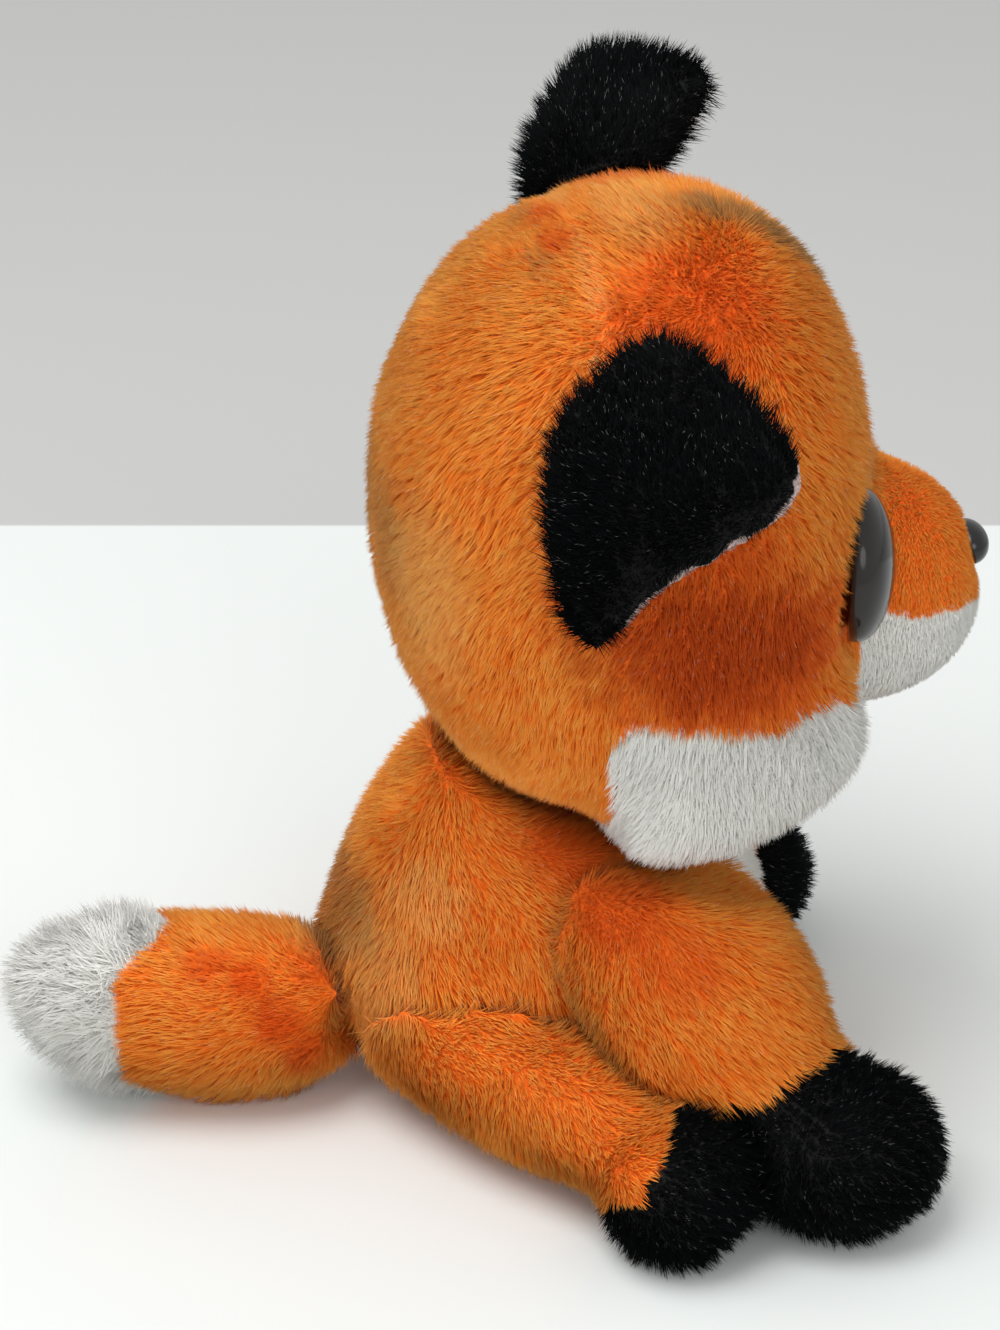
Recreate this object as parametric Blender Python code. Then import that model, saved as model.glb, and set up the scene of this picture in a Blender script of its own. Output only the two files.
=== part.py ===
"""A sitting plush fox of the 15 cm class, modelled as sewn and stuffed pieces.

The fox faces -Y, its right side is -X and up is +Z. The origin lies on the
table, in the middle of the part's bounding box as seen from above.
"""
import math

import bmesh
import bpy
from mathutils import Matrix, Vector

MM = 0.001

# How the pieces meet
SEAM_GAP = 0.3 * MM          # air between two pieces that touch
FLAT_DEPTH = 0.5 * MM        # how deep the table flattens the plush
OVERRUN = 4 * MM             # how far a cutter passes what it cuts
WELD = 0.004 * MM            # points closer than this are one point
FABRIC = 2.4 * MM            # backing cloth with its dense pile
CUTTER_REACH = 200 * MM      # half the size of the blocks that part the forms

# Counts that set how finely the forms are drawn
HEAD_RINGS, HEAD_SEGMENTS = 16, 24
BODY_RINGS, BODY_SEGMENTS = 14, 20
LIMB_RINGS, LIMB_SEGMENTS = 10, 14
TRIM_RINGS, TRIM_SEGMENTS = 7, 16
INNER_SHARE = 0.5            # filling and the inside of the cloth are drawn coarser
SWEEP_STEP = 8               # degrees between the copies that fill a swept room

# Places are written as forward, sideways and up from a point on the table under
# the neck. CENTRE_FORWARD, at the end, then moves the origin to mid length.

# Head: a broad ball, flatter from front to back
HEAD_HALF_WIDTH = 46.5 * MM
HEAD_FRONT = 36.5 * MM
HEAD_BACK = 38.5 * MM
HEAD_UP = 48 * MM
HEAD_DOWN = 46 * MM
HEAD_FORWARD = 7 * MM
HEAD_HEIGHT = 93.5 * MM
HEAD_FULLNESS = 2.25
CROWN_LEAN = 4.5 * MM         # how far the top of the head leans forward
FACE_SEAM_FORWARD = 0 * MM    # where the face panel meets the back panel

# Snout and white muzzle, one stuffed cone parted by a seam that falls towards the nose
SNOUT_FORWARD = 42 * MM
SNOUT_HEIGHT = 76 * MM
SNOUT_HALF_WIDTH = 17 * MM
SNOUT_FRONT = 21.5 * MM
SNOUT_BACK = 20 * MM
SNOUT_UP = 21.5 * MM
SNOUT_DOWN = 18 * MM
SNOUT_FULLNESS = 2.1
MUZZLE_SEAM_RISE = 3.5 * MM   # over the middle of the snout
MUZZLE_SEAM_PITCH = 10        # degrees that its front is lower

# White cheeks, padded bulges under the face panel that rise towards the muzzle
CHEEK_FORWARD = 16.5 * MM
CHEEK_SIDE = 24 * MM
CHEEK_DROP = 11 * MM          # under the middle of the snout
CHEEK_HALF_DEPTH = 23 * MM
CHEEK_HALF_WIDTH = 19.5 * MM
CHEEK_HALF_HEIGHT = 14 * MM
CHEEK_FULLNESS = 3
CHEEK_PITCH = 19              # degrees that the front end is lifted
CHEEK_YAW = 10                # degrees that the front end is turned inward

# Eyes and nose: moulded domes with a stem that a washer holds inside
EYE_RADIUS = 11.5 * MM
EYE_RISE = 6.8 * MM
EYE_RIM = 1.2 * MM
EYE_FORWARD = 37 * MM
EYE_SIDE = 20.5 * MM
EYE_HEIGHT = 90 * MM
EYE_TURN = 12                 # degrees outward
NOSE_HALF_WIDTH = 4.8 * MM
NOSE_HALF_HEIGHT = 3.3 * MM
NOSE_RISE = 3.6 * MM
NOSE_RIM = 0.4 * MM
NOSE_FORWARD = 60.5 * MM
NOSE_HEIGHT = 82 * MM
NOSE_LIFT = 20                # degrees upward
STEM_RADIUS = 1.5 * MM
EYE_STEM_LENGTH = 9 * MM
NOSE_STEM_LENGTH = 5.5 * MM
WASHER_RADIUS = 6 * MM
NOSE_WASHER_RADIUS = 3.2 * MM
WASHER_THICKNESS = 1.2 * MM

# Ears: cupped leaves, black behind and pale in front
EAR_LENGTH = 30.5 * MM
EAR_HEIGHT = 45.5 * MM
EAR_CUP = 5 * MM
EAR_THICKNESS = 4.2 * MM
LINING_THICKNESS = 1.6 * MM
LINING_SHARE = 0.86
EAR_SWING = (-5, 15)
EAR_OUTLINE_SHARES = [
    (-0.43, 0.02), (-0.24, 0.30), (-0.10, 0.62), (0.04, 0.92), (0.15, 1.00), (0.28, 0.93),
    (0.44, 0.70), (0.58, 0.42), (0.58, 0.20), (0.44, -0.03), (0.30, -0.20), (0.02, -0.24),
    (-0.28, -0.18),
]
EAR_RING_SHARES = (0.45, 0.84)
# The right ear is folded forward along the head; the left one stands out and up.
# Root places and directions are forward, towards the ear's own side, and up.
EAR_ROOTS = {"right": (-4.5 * MM, 43.5 * MM, 111 * MM), "left": (6 * MM, 38 * MM, 125 * MM)}
EAR_UP_SHARES = {"right": (0.05, -0.25, 0.965), "left": (0, 0.885, 0.46)}
EAR_OUT_SHARES = {"right": (0.90, 0.42, 0.06), "left": (0.75, -0.28, 0.60)}
EAR_HINGE = {"right": "up", "left": "out"}

# Body: a pear with the seat flattened by the table
BODY_FORWARD = -6 * MM
BODY_TOP_FORWARD = -4 * MM
BODY_HEIGHT = 70 * MM
BODY_SEAT_RADIUS = 44.5 * MM
BODY_WAIST_RADIUS = 33 * MM
BODY_NECK_RADIUS = 17 * MM
BODY_FULLNESS = 2.5
BODY_WIDTH_SHARE = 0.88
POUCH_HEIGHT = 20 * MM        # how high the pellets fill the seat
BIB_HALF_WIDTH = 14 * MM
BIB_HALF_HEIGHT = 34 * MM
BIB_HEIGHT = 48 * MM

# Neck: a ball of tightly packed filling that both openings close on
NECK_RADIUS = 13 * MM
NECK_FORWARD = -2 * MM
NECK_HEIGHT = 52 * MM
NECK_PLAY = 0.7 * MM         # air around the ball, so that it turns in its openings
HEAD_TURN = 12                # degrees to either side
HEAD_NOD = 6                  # degrees up and down

# Limbs, each from the hidden end to the free end, with three radii on the way.
# The left arm lies closer to the chest than the right one.
ARM_TOP = (-4 * MM, 15 * MM, 46 * MM)
ARM_CUFFS = {"right": (25 * MM, 50 * MM, 10 * MM), "left": (24 * MM, 25.5 * MM, 10 * MM)}
ARM_RADII = (16 * MM, 19.5 * MM, 16.5 * MM)
ARM_SWING = (0, 26)
SHOULDER_FORWARD = 7 * MM
SHOULDER_SIDE = 20 * MM
SHOULDER_HEIGHT = 40 * MM
PAW_PLACES = {"right": (30 * MM, 55 * MM), "left": (28 * MM, 25 * MM)}
PAW_HALF_DEPTH = 16.5 * MM
PAW_HALF_WIDTH = 16 * MM
PAW_HALF_HEIGHT = 12 * MM
PAW_TURN = 0

LEG_HIP_END = (-34 * MM, 5 * MM, 16 * MM)
LEG_CUFF = (4 * MM, 58 * MM, 11 * MM)
LEG_RADII = (16 * MM, 12.5 * MM, 11 * MM)
LEG_SPLAY = (-1, 10)
HIP_FORWARD = -30 * MM
HIP_SIDE = 20 * MM
HIP_HEIGHT = 14 * MM
FOOT_PLACE = (4 * MM, 59.5 * MM)
FOOT_HALF_DEPTH = 12.5 * MM
FOOT_HALF_WIDTH = 12 * MM
FOOT_HALF_HEIGHT = 11 * MM
FOOT_TURN = -40
PAD_FULLNESS = 2.3

TAIL_ROOT = (-30 * MM, -9 * MM, 14.5 * MM)
TAIL_END = (-90 * MM, -2 * MM, 20 * MM)
TAIL_RADII = (13.5 * MM, 15.5 * MM, 13 * MM)
TAIL_SAG = 2.2 * MM
TAIL_SEAM_FORWARD = -70.8 * MM
TAIL_PIVOT = (-37 * MM, -8 * MM, 14.5 * MM)
TAIL_WAG = 12                 # degrees to either side

CENTRE_FORWARD = (TAIL_END[0] + NOSE_FORWARD + NOSE_RISE) / 2

GOLDEN = (0.78, 0.33, 0.06)
ORANGE = (0.74, 0.20, 0.03)
WHITE = (0.86, 0.85, 0.82)
BLACK = (0.012, 0.012, 0.014)
PALE = (0.80, 0.66, 0.62)
FILLING = (0.90, 0.90, 0.88)
EYE_COLOUR = (0.02, 0.022, 0.025)

RIGHT, LEFT = -1, 1
SIDES = {"right": RIGHT, "left": LEFT}
ACROSS, UPWARD = Vector((1, 0, 0)), Vector((0, 0, 1))


def place(forward, side, up):
    """World point of a place given as forward, sideways (+ is the fox's left) and up."""
    return Vector((side, CENTRE_FORWARD - forward, up))


def clear_scene():
    for old in list(bpy.data.objects):
        bpy.data.objects.remove(old, do_unlink=True)


def plush_material(name, colour, roughness=0.95, metallic=0.0):
    material = bpy.data.materials.get(name)
    if material is None:
        material = bpy.data.materials.new(name)
        material.use_nodes = True
        shader = material.node_tree.nodes["Principled BSDF"]
        shader.inputs["Base Color"].default_value = (*colour, 1.0)
        shader.inputs["Roughness"].default_value = roughness
        shader.inputs["Metallic"].default_value = metallic
    return material


def add_object(name, bm):
    """Turn a bmesh into a smooth-shaded object in world space."""
    bmesh.ops.recalc_face_normals(bm, faces=bm.faces)
    mesh = bpy.data.meshes.new(name)
    bm.to_mesh(mesh)
    bm.free()
    mesh.shade_smooth()
    obj = bpy.data.objects.new(name, mesh)
    bpy.context.collection.objects.link(obj)
    return obj


def remove(*objects):
    for obj in objects:
        bpy.data.objects.remove(obj, do_unlink=True)


def boolean(obj, tool, operation):
    """Apply an exact boolean to obj and keep the tool.

    Both are cut at millimetre scale, where the solver's own distances are small.
    """
    enlarge, shrink = Matrix.Scale(1 / MM, 4), Matrix.Scale(MM, 4)
    obj.data.transform(enlarge)
    tool.data.transform(enlarge)
    modifier = obj.modifiers.new(operation.title(), "BOOLEAN")
    modifier.operation = operation
    modifier.solver = "EXACT"
    modifier.object = tool
    graph = bpy.context.evaluated_depsgraph_get()
    graph.update()
    mesh = bpy.data.meshes.new_from_object(obj.evaluated_get(graph))
    obj.modifiers.clear()
    bm = bmesh.new()
    bm.from_mesh(mesh)
    bmesh.ops.remove_doubles(bm, verts=bm.verts, dist=WELD)
    bmesh.ops.dissolve_degenerate(bm, dist=WELD, edges=bm.edges)
    bm.to_mesh(mesh)
    bm.free()
    mesh.transform(shrink)
    tool.data.transform(shrink)
    obj.data = mesh
    return obj


def carve(obj, *tools):
    for tool in tools:
        boolean(obj, tool, "DIFFERENCE")
    return obj


def trim_to(obj, tool):
    return boolean(obj, tool, "INTERSECT")


def duplicate(obj, name):
    copy = bpy.data.objects.new(name, obj.data.copy())
    bpy.context.collection.objects.link(copy)
    return copy


def grown(obj, distance):
    """A copy of obj whose surface stands off by distance, inward if negative."""
    copy = duplicate(obj, obj.name + "_grown")
    bm = bmesh.new()
    bm.from_mesh(copy.data)
    bm.normal_update()
    moves = [(vert, vert.normal.copy()) for vert in bm.verts]
    for vert, normal in moves:
        vert.co += normal * distance
    bm.to_mesh(copy.data)
    bm.free()
    return copy


def largest_part(obj):
    """Keep the largest connected part, so that no crumb of filling is left."""
    bm = bmesh.new()
    bm.from_mesh(obj.data)
    seen = set()
    parts = []
    for start in bm.verts:
        if start in seen:
            continue
        stack = [start]
        part = []
        seen.add(start)
        while stack:
            vert = stack.pop()
            part.append(vert)
            for edge in vert.link_edges:
                other = edge.other_vert(vert)
                if other not in seen:
                    seen.add(other)
                    stack.append(other)
        parts.append(part)
    parts.sort(key=len, reverse=True)
    for part in parts[1:]:
        bmesh.ops.delete(bm, geom=part, context="VERTS")
    bm.to_mesh(obj.data)
    bm.free()
    return obj


def mirrored(obj, name):
    """The same piece on the other side of the fox."""
    copy = duplicate(obj, name)
    copy.data.transform(Matrix.Scale(-1, 4, Vector((1, 0, 0))))
    copy.data.flip_normals()
    return copy


def closed_rings(bm, rings, first, last):
    """Skin a list of rings of points and close both ends on a point."""
    loops = [[bm.verts.new(point) for point in ring] for ring in rings]
    count = len(loops[0])
    start = bm.verts.new(first)
    end = bm.verts.new(last)
    for k in range(count):
        following = (k + 1) % count
        bm.faces.new((start, loops[0][following], loops[0][k]))
        bm.faces.new((end, loops[-1][k], loops[-1][following]))
    for lower, upper in zip(loops, loops[1:]):
        for k in range(count):
            following = (k + 1) % count
            bm.faces.new((lower[k], lower[following], upper[following], upper[k]))


def ball(name, centre, half_width, front, back, up, down, fullness, rings, segments):
    """A swollen ball with its own reach to the front, back, top and bottom."""
    def point(direction):
        reach_y = front if direction.y < 0 else back
        reach_z = up if direction.z > 0 else down
        shares = (direction.x / half_width, direction.y / reach_y, direction.z / reach_z)
        radius = sum(abs(share) ** fullness for share in shares) ** (-1 / fullness)
        return centre + direction * radius

    bm = bmesh.new()
    loops = []
    for i in range(1, rings):
        polar = math.pi * i / rings
        loop = []
        for k in range(segments):
            around = 2 * math.pi * k / segments
            across = math.sin(polar)
            direction = Vector((across * math.cos(around) * half_width,
                                across * math.sin(around) * (front + back) / 2,
                                -math.cos(polar) * (up + down) / 2))
            loop.append(point(direction.normalized()))
        loops.append(loop)
    closed_rings(bm, loops, point(Vector((0, 0, -1))), point(Vector((0, 0, 1))))
    return add_object(name, bm)


def along(radii, t):
    """Radius at share t of a limb with a radius at its start, middle and end."""
    start, middle, end = radii
    return (start * (2 * t - 1) * (t - 1) + middle * 4 * t * (1 - t) + end * t * (2 * t - 1))


def swell(name, start, end, radii, rings, segments, fullness=2.4, width_share=1.0, sag=Vector()):
    """A stuffed tube between two rounded ends that swells and tapers on the way."""
    spine = (end - start).normalized()
    side = Vector((1, 0, 0))
    if abs(spine.x) > abs(spine.y):
        side = Vector((0, 1, 0))
    across = (side - spine * side.dot(spine)).normalized()
    upward = spine.cross(across)
    bm = bmesh.new()
    loops = []
    for i in range(1, rings):
        t = (1 - math.cos(math.pi * i / rings)) / 2
        rounding = (1 - abs(2 * t - 1) ** fullness) ** (1 / fullness)
        radius = along(radii, t) * rounding
        centre = start.lerp(end, t) + sag * (4 * t * (1 - t))
        loop = []
        for k in range(segments):
            around = 2 * math.pi * k / segments
            loop.append(centre + across * (radius * width_share * math.cos(around))
                        + upward * (radius * math.sin(around)))
        loops.append(loop)
    closed_rings(bm, loops, start, end)
    return add_object(name, bm)


def turned_profile(name, profile, base, axis, segments):
    """A solid of revolution: profile is (radius, height) from the foot to the tip."""
    bm = bmesh.new()
    frame = axis.to_track_quat("Z", "Y").to_matrix()
    loops = []
    for radius, height in profile[1:-1]:
        loop = []
        for k in range(segments):
            around = 2 * math.pi * k / segments
            local = Vector((radius * math.cos(around), radius * math.sin(around), height))
            loop.append(base + frame @ local)
        loops.append(loop)
    foot = base + frame @ Vector((0, 0, profile[0][1]))
    tip = base + frame @ Vector((0, 0, profile[-1][1]))
    closed_rings(bm, loops, foot, tip)
    return add_object(name, bm)


def block(name, low, high):
    """An upright box between two corners."""
    bm = bmesh.new()
    bmesh.ops.create_cube(bm, size=1)
    size = high - low
    middle = (low + high) / 2
    for vert in bm.verts:
        vert.co = Vector((vert.co.x * size.x, vert.co.y * size.y, vert.co.z * size.z)) + middle
    return add_object(name, bm)


def half_space(name, axis, low=-CUTTER_REACH, high=CUTTER_REACH):
    """Everything between two values of one world axis (0 for X, 1 for Y, 2 for Z)."""
    near = Vector((-CUTTER_REACH, -CUTTER_REACH, -CUTTER_REACH))
    far = -near
    near[axis] = low
    far[axis] = high
    return block(name, near, far)


def joint(name, pivot, parent=None):
    """An empty on a joint's axis that carries the pieces which move together."""
    empty = bpy.data.objects.new(name, None)
    bpy.context.collection.objects.link(empty)
    empty.parent = parent
    empty.location = pivot - (world_place(parent) if parent else Vector())
    return empty


def world_place(empty):
    """World position of a joint's empty, which is moved but never turned."""
    return empty.location + (world_place(empty.parent) if empty.parent else Vector())


def finish(obj, name, material, carrier):
    """Name a piece, give it its material and hang it on its joint's empty."""
    largest_part(obj)
    obj.name = name
    obj.data.name = name
    obj.data.materials.clear()
    obj.data.materials.append(material)
    obj.data.transform(Matrix.Translation(-world_place(carrier)))
    obj.parent = carrier
    return obj


def swept(tool, pivot, axis, low, high):
    """The convex room that tool fills while it turns from low to high about axis."""
    points = []
    steps = math.ceil((high - low) / SWEEP_STEP)
    for step in range(steps + 1):
        angle = math.radians(low + (high - low) * step / steps)
        turn = Matrix.Rotation(angle, 3, axis)
        points += [pivot + turn @ (vert.co - pivot) for vert in tool.data.vertices]
    return convex_hull(tool.name + "_swept", points)


def convex_hull(name, points):
    bm = bmesh.new()
    for point in points:
        bm.verts.new(point)
    result = bmesh.ops.convex_hull(bm, input=bm.verts)
    inside = {item for item in result["geom_interior"] + result["geom_unused"]
              if isinstance(item, bmesh.types.BMVert)}
    bmesh.ops.delete(bm, geom=list(inside), context="VERTS")
    return add_object(name, bm)


def carve_swept(obj, tool, pivot, axis, limits):
    """Carve obj, which turns between two limits about axis, by a tool that stays."""
    low, high = limits
    room = swept(tool, pivot, axis, -high, -low)
    carve(obj, room)
    remove(room)
    return obj


def head_form(share=1):
    centre = place(HEAD_FORWARD, 0, HEAD_HEIGHT)
    form = ball("head_form", centre, HEAD_HALF_WIDTH, HEAD_FRONT, HEAD_BACK, HEAD_UP, HEAD_DOWN,
                HEAD_FULLNESS, round(HEAD_RINGS * share), round(HEAD_SEGMENTS * share))
    for vert in form.data.vertices:
        rise = max(0, (vert.co.z - centre.z) / HEAD_UP)
        vert.co.y -= CROWN_LEAN * rise ** 2
    return form


def snout_form():
    centre = place(SNOUT_FORWARD, 0, SNOUT_HEIGHT)
    return ball("snout_form", centre, SNOUT_HALF_WIDTH, SNOUT_FRONT, SNOUT_BACK, SNOUT_UP,
                SNOUT_DOWN, SNOUT_FULLNESS, TRIM_SEGMENTS - TRIM_RINGS, TRIM_SEGMENTS)


def cheek_form():
    form = ball("cheek_form", Vector(), CHEEK_HALF_WIDTH, CHEEK_HALF_DEPTH, CHEEK_HALF_DEPTH,
                CHEEK_HALF_HEIGHT, CHEEK_HALF_HEIGHT, CHEEK_FULLNESS, LIMB_RINGS, LIMB_SEGMENTS)
    pitch = Matrix.Rotation(math.radians(-CHEEK_PITCH), 4, ACROSS)
    yaw = Matrix.Rotation(math.radians(CHEEK_YAW), 4, UPWARD)
    centre = place(CHEEK_FORWARD, RIGHT * CHEEK_SIDE, SNOUT_HEIGHT - CHEEK_DROP)
    form.data.transform(Matrix.Translation(centre) @ yaw @ pitch)
    return form


def body_form(share=1):
    start = place(BODY_FORWARD, 0, -FLAT_DEPTH)
    end = place(BODY_TOP_FORWARD, 0, BODY_HEIGHT)
    radii = (BODY_SEAT_RADIUS, BODY_WAIST_RADIUS, BODY_NECK_RADIUS)
    return swell("body_form", start, end, radii, round(BODY_RINGS * share), round(BODY_SEGMENTS * share),
                 BODY_FULLNESS, BODY_WIDTH_SHARE)


def neck_pivot():
    return place(NECK_FORWARD, 0, NECK_HEIGHT)


def neck_ball(name, radius):
    return ball(name, neck_pivot(), radius, radius, radius, radius, radius, 2,
                LIMB_RINGS, LIMB_SEGMENTS)


def stud(name, base, axis, dome, stem_length):
    """A moulded dome with its stem, and the room that both need."""
    stem = [(0, -stem_length), (STEM_RADIUS, -stem_length), (STEM_RADIUS, 0)]
    solid = turned_profile(name, stem + dome, base, axis, TRIM_SEGMENTS)
    wide = [(0, -stem_length - SEAM_GAP), (STEM_RADIUS + SEAM_GAP, -stem_length - SEAM_GAP),
            (STEM_RADIUS + SEAM_GAP, -SEAM_GAP)]
    for radius, height in dome:
        outward = SEAM_GAP if radius else 0
        wide.append((radius + outward, height + (SEAM_GAP if height > 0 else -SEAM_GAP)))
    room = turned_profile(name + "_room", wide, base, axis, TRIM_SEGMENTS)
    return solid, room


def washer_ring(name, base, axis, radius, depth):
    """A flat lock washer on a stem, depth behind the base of its dome."""
    hole = STEM_RADIUS + SEAM_GAP
    bm = bmesh.new()
    frame = axis.to_track_quat("Z", "Y").to_matrix()
    corners = [(hole, -depth), (radius, -depth),
               (radius, -depth - WASHER_THICKNESS), (hole, -depth - WASHER_THICKNESS)]
    loops = []
    for corner_radius, height in corners:
        loop = []
        for k in range(TRIM_SEGMENTS):
            around = 2 * math.pi * k / TRIM_SEGMENTS
            local = Vector((corner_radius * math.cos(around), corner_radius * math.sin(around), height))
            loop.append(bm.verts.new(base + frame @ local))
        loops.append(loop)
    for index, loop in enumerate(loops):
        beside = loops[(index + 1) % len(loops)]
        for k in range(TRIM_SEGMENTS):
            following = (k + 1) % TRIM_SEGMENTS
            bm.faces.new((loop[k], loop[following], beside[following], beside[k]))
    return add_object(name, bm)


def washer_room(base, axis, radius, depth):
    """The pocket in the filling that takes the washer."""
    low = -depth - WASHER_THICKNESS - SEAM_GAP
    high = -depth + SEAM_GAP
    outer = radius + SEAM_GAP
    return turned_profile("washer_room", [(0, low), (outer, low), (outer, high), (0, high)],
                          base, axis, TRIM_SEGMENTS)


def dome_profile(radius, rise, rim):
    """Flat back, short rim, then a rounded front that ends on the axis."""
    points = [(radius, 0), (radius, rim)]
    steps = TRIM_RINGS - 2
    for k in range(1, steps):
        angle = math.pi / 2 * k / steps
        points.append((radius * math.cos(angle), rim + (rise - rim) * math.sin(angle)))
    points.append((0, rise))
    return points


def smooth_closed(points, steps):
    """A smooth closed curve through a few points, given as (u, v) pairs."""
    count = len(points)
    curve = []
    for i in range(count):
        before, here, after, beyond = (Vector(points[(i + k) % count]) for k in (-1, 0, 1, 2))
        for step in range(steps):
            t = step / steps
            curve.append(0.5 * ((2 * here) + (after - before) * t
                                + (2 * before - 5 * here + 4 * after - beyond) * t ** 2
                                + (3 * here - before - 3 * after + beyond) * t ** 3))
    return curve


def leaf(name, origin, up, out, normal, share, front, thickness):
    """A cupped leaf in the plane of up and out that bulges along normal."""
    outline = [Vector((u * EAR_HEIGHT, v * EAR_LENGTH)) for u, v in EAR_OUTLINE_SHARES]
    curve = smooth_closed(outline, 2)
    middle = sum(curve, Vector((0, 0))) / len(curve)

    def point(flat, ring_share, lift):
        where = middle + (flat - middle) * ring_share * share
        bulge = EAR_CUP * (1 - ring_share ** 2)
        return origin + up * where.x + out * where.y + normal * (bulge + lift)

    bm = bmesh.new()
    near = [[point(flat, ring_share, front) for flat in curve] for ring_share in EAR_RING_SHARES]
    edge = [[point(flat, 1, front + thickness / 2) for flat in curve]]
    far = [[point(flat, ring_share, front + thickness) for flat in curve]
           for ring_share in reversed(EAR_RING_SHARES)]
    closed_rings(bm, near + edge + far, point(middle, 0, front), point(middle, 0, front + thickness))
    return add_object(name, bm)


def ear_frame(side_name, side):
    """Root, leaf directions, back normal and hinge axis of one ear.

    A positive turn about the hinge lifts the leaf off the head.
    """
    def direction(shares):
        forward, sideways, upward = shares
        return Vector((side * sideways, -forward, upward)).normalized()

    up = direction(EAR_UP_SHARES[side_name])
    out = direction(EAR_OUT_SHARES[side_name])
    out = (out - up * out.dot(up)).normalized()
    normal = up.cross(out)
    if normal.y < 0:
        normal = -normal
    hinge, free = (up, out) if EAR_HINGE[side_name] == "up" else (out, up)
    if hinge.cross(free).dot(normal) < 0:
        hinge = -hinge
    forward, sideways, upward = EAR_ROOTS[side_name]
    return place(forward, side * sideways, upward), up, out, normal, hinge


def make_eyes(head, plastic, washer_plastic):
    """Both eyes with their washers; returns the rooms that they need."""
    depth = FABRIC + SEAM_GAP
    rooms = []
    for side_name, side in SIDES.items():
        turn = math.radians(EYE_TURN)
        axis = Vector((side * math.sin(turn), -math.cos(turn), 0))
        base = place(EYE_FORWARD, side * EYE_SIDE, EYE_HEIGHT)
        dome = dome_profile(EYE_RADIUS, EYE_RISE, EYE_RIM)
        eye, eye_room = stud("eye", base, axis, dome, EYE_STEM_LENGTH)
        washer = washer_ring("eye_washer", base, axis, WASHER_RADIUS, depth)
        finish(eye, "eye_" + side_name, plastic, head)
        finish(washer, "eye_washer_" + side_name, washer_plastic, head)
        rooms += [eye_room, washer_room(base, axis, WASHER_RADIUS, depth)]
    return rooms


def make_nose(head, plastic, washer_plastic):
    """The nose bead with its washer; returns the rooms that they need."""
    lift = math.radians(NOSE_LIFT)
    axis = Vector((0, -math.cos(lift), math.sin(lift)))
    base = place(NOSE_FORWARD, 0, NOSE_HEIGHT)
    dome = dome_profile(NOSE_HALF_HEIGHT, NOSE_RISE, NOSE_RIM)
    nose, nose_room = stud("nose", base, axis, dome, NOSE_STEM_LENGTH)
    for piece in (nose, nose_room):
        widen_bead(piece, base, axis)
    washer = washer_ring("nose_washer", base, axis, NOSE_WASHER_RADIUS, FABRIC)
    finish(nose, "nose", plastic, head)
    finish(washer, "nose_washer", washer_plastic, head)
    return [nose_room, washer_room(base, axis, NOSE_WASHER_RADIUS, FABRIC)]


def widen_bead(obj, base, axis):
    """Stretch the bead sideways and leave its stem round."""
    share = NOSE_HALF_WIDTH / NOSE_HALF_HEIGHT
    for vert in obj.data.vertices:
        offset = vert.co - base
        height = offset.dot(axis)
        from_axis = (offset - axis * height).length
        if height > NOSE_RIM / 2 or from_axis > STEM_RADIUS + 2 * SEAM_GAP:
            vert.co.x *= share


def make_head(head):
    orange = plush_material("face_plush", ORANGE)
    golden = plush_material("back_plush", GOLDEN)
    white = plush_material("white_plush", WHITE)
    filling = plush_material("fibre_filling", FILLING)
    plastic = plush_material("eye_plastic", EYE_COLOUR, 0.08)
    nose_plastic = plush_material("nose_plastic", BLACK, 0.2)
    washer_plastic = plush_material("washer_plastic", FILLING, 0.4)

    outer = head_form()
    room = grown(outer, SEAM_GAP)
    coarse = head_form(INNER_SHARE)
    inner = grown(coarse, -FABRIC)
    core = grown(coarse, -FABRIC - SEAM_GAP)
    neck_room = neck_ball("neck_room", NECK_RADIUS + NECK_PLAY)
    eye_rooms = make_eyes(head, plastic, washer_plastic)
    shell = carve(duplicate(outer, "head_shell"), inner, neck_room, *eye_rooms)
    carve(core, neck_room, *eye_rooms)

    half_gap = SEAM_GAP / 2
    seam = place(FACE_SEAM_FORWARD, 0, 0).y
    behind_seam = half_space("behind_seam", 1, low=seam - half_gap)
    before_seam = half_space("before_seam", 1, high=seam + half_gap)
    face = carve(duplicate(shell, "head_face"), behind_seam)
    back = carve(shell, before_seam)
    finish(face, "head_face", orange, head)
    finish(back, "head_back", golden, head)
    finish(core, "head_stuffing", filling, head)

    nose_rooms = make_nose(head, nose_plastic, washer_plastic)
    snout = snout_form()
    snout_room = grown(snout, SEAM_GAP)
    carve(snout, room, *nose_rooms, *eye_rooms)
    above = half_space("above", 2, low=-half_gap)
    below = half_space("below", 2, high=half_gap)
    pitch = Matrix.Rotation(math.radians(MUZZLE_SEAM_PITCH), 4, ACROSS)
    middle = Matrix.Translation(place(SNOUT_FORWARD, 0, SNOUT_HEIGHT + MUZZLE_SEAM_RISE))
    for cutter in (above, below):
        cutter.data.transform(middle @ pitch)
    muzzle = carve(duplicate(snout, "muzzle"), above)
    carve(snout, below)
    finish(snout, "snout", orange, head)
    finish(muzzle, "muzzle", white, head)

    past_middle = half_space("past_middle", 0, low=-half_gap)
    cheek = carve(cheek_form(), past_middle, behind_seam, snout_room, room)
    other_cheek = mirrored(cheek, "other_cheek")
    finish(cheek, "cheek_right", white, head)
    finish(other_cheek, "cheek_left", white, head)

    remove(outer, coarse, inner, neck_room, snout_room, behind_seam, before_seam, above, below,
           past_middle, *eye_rooms, *nose_rooms)
    return room


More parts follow.
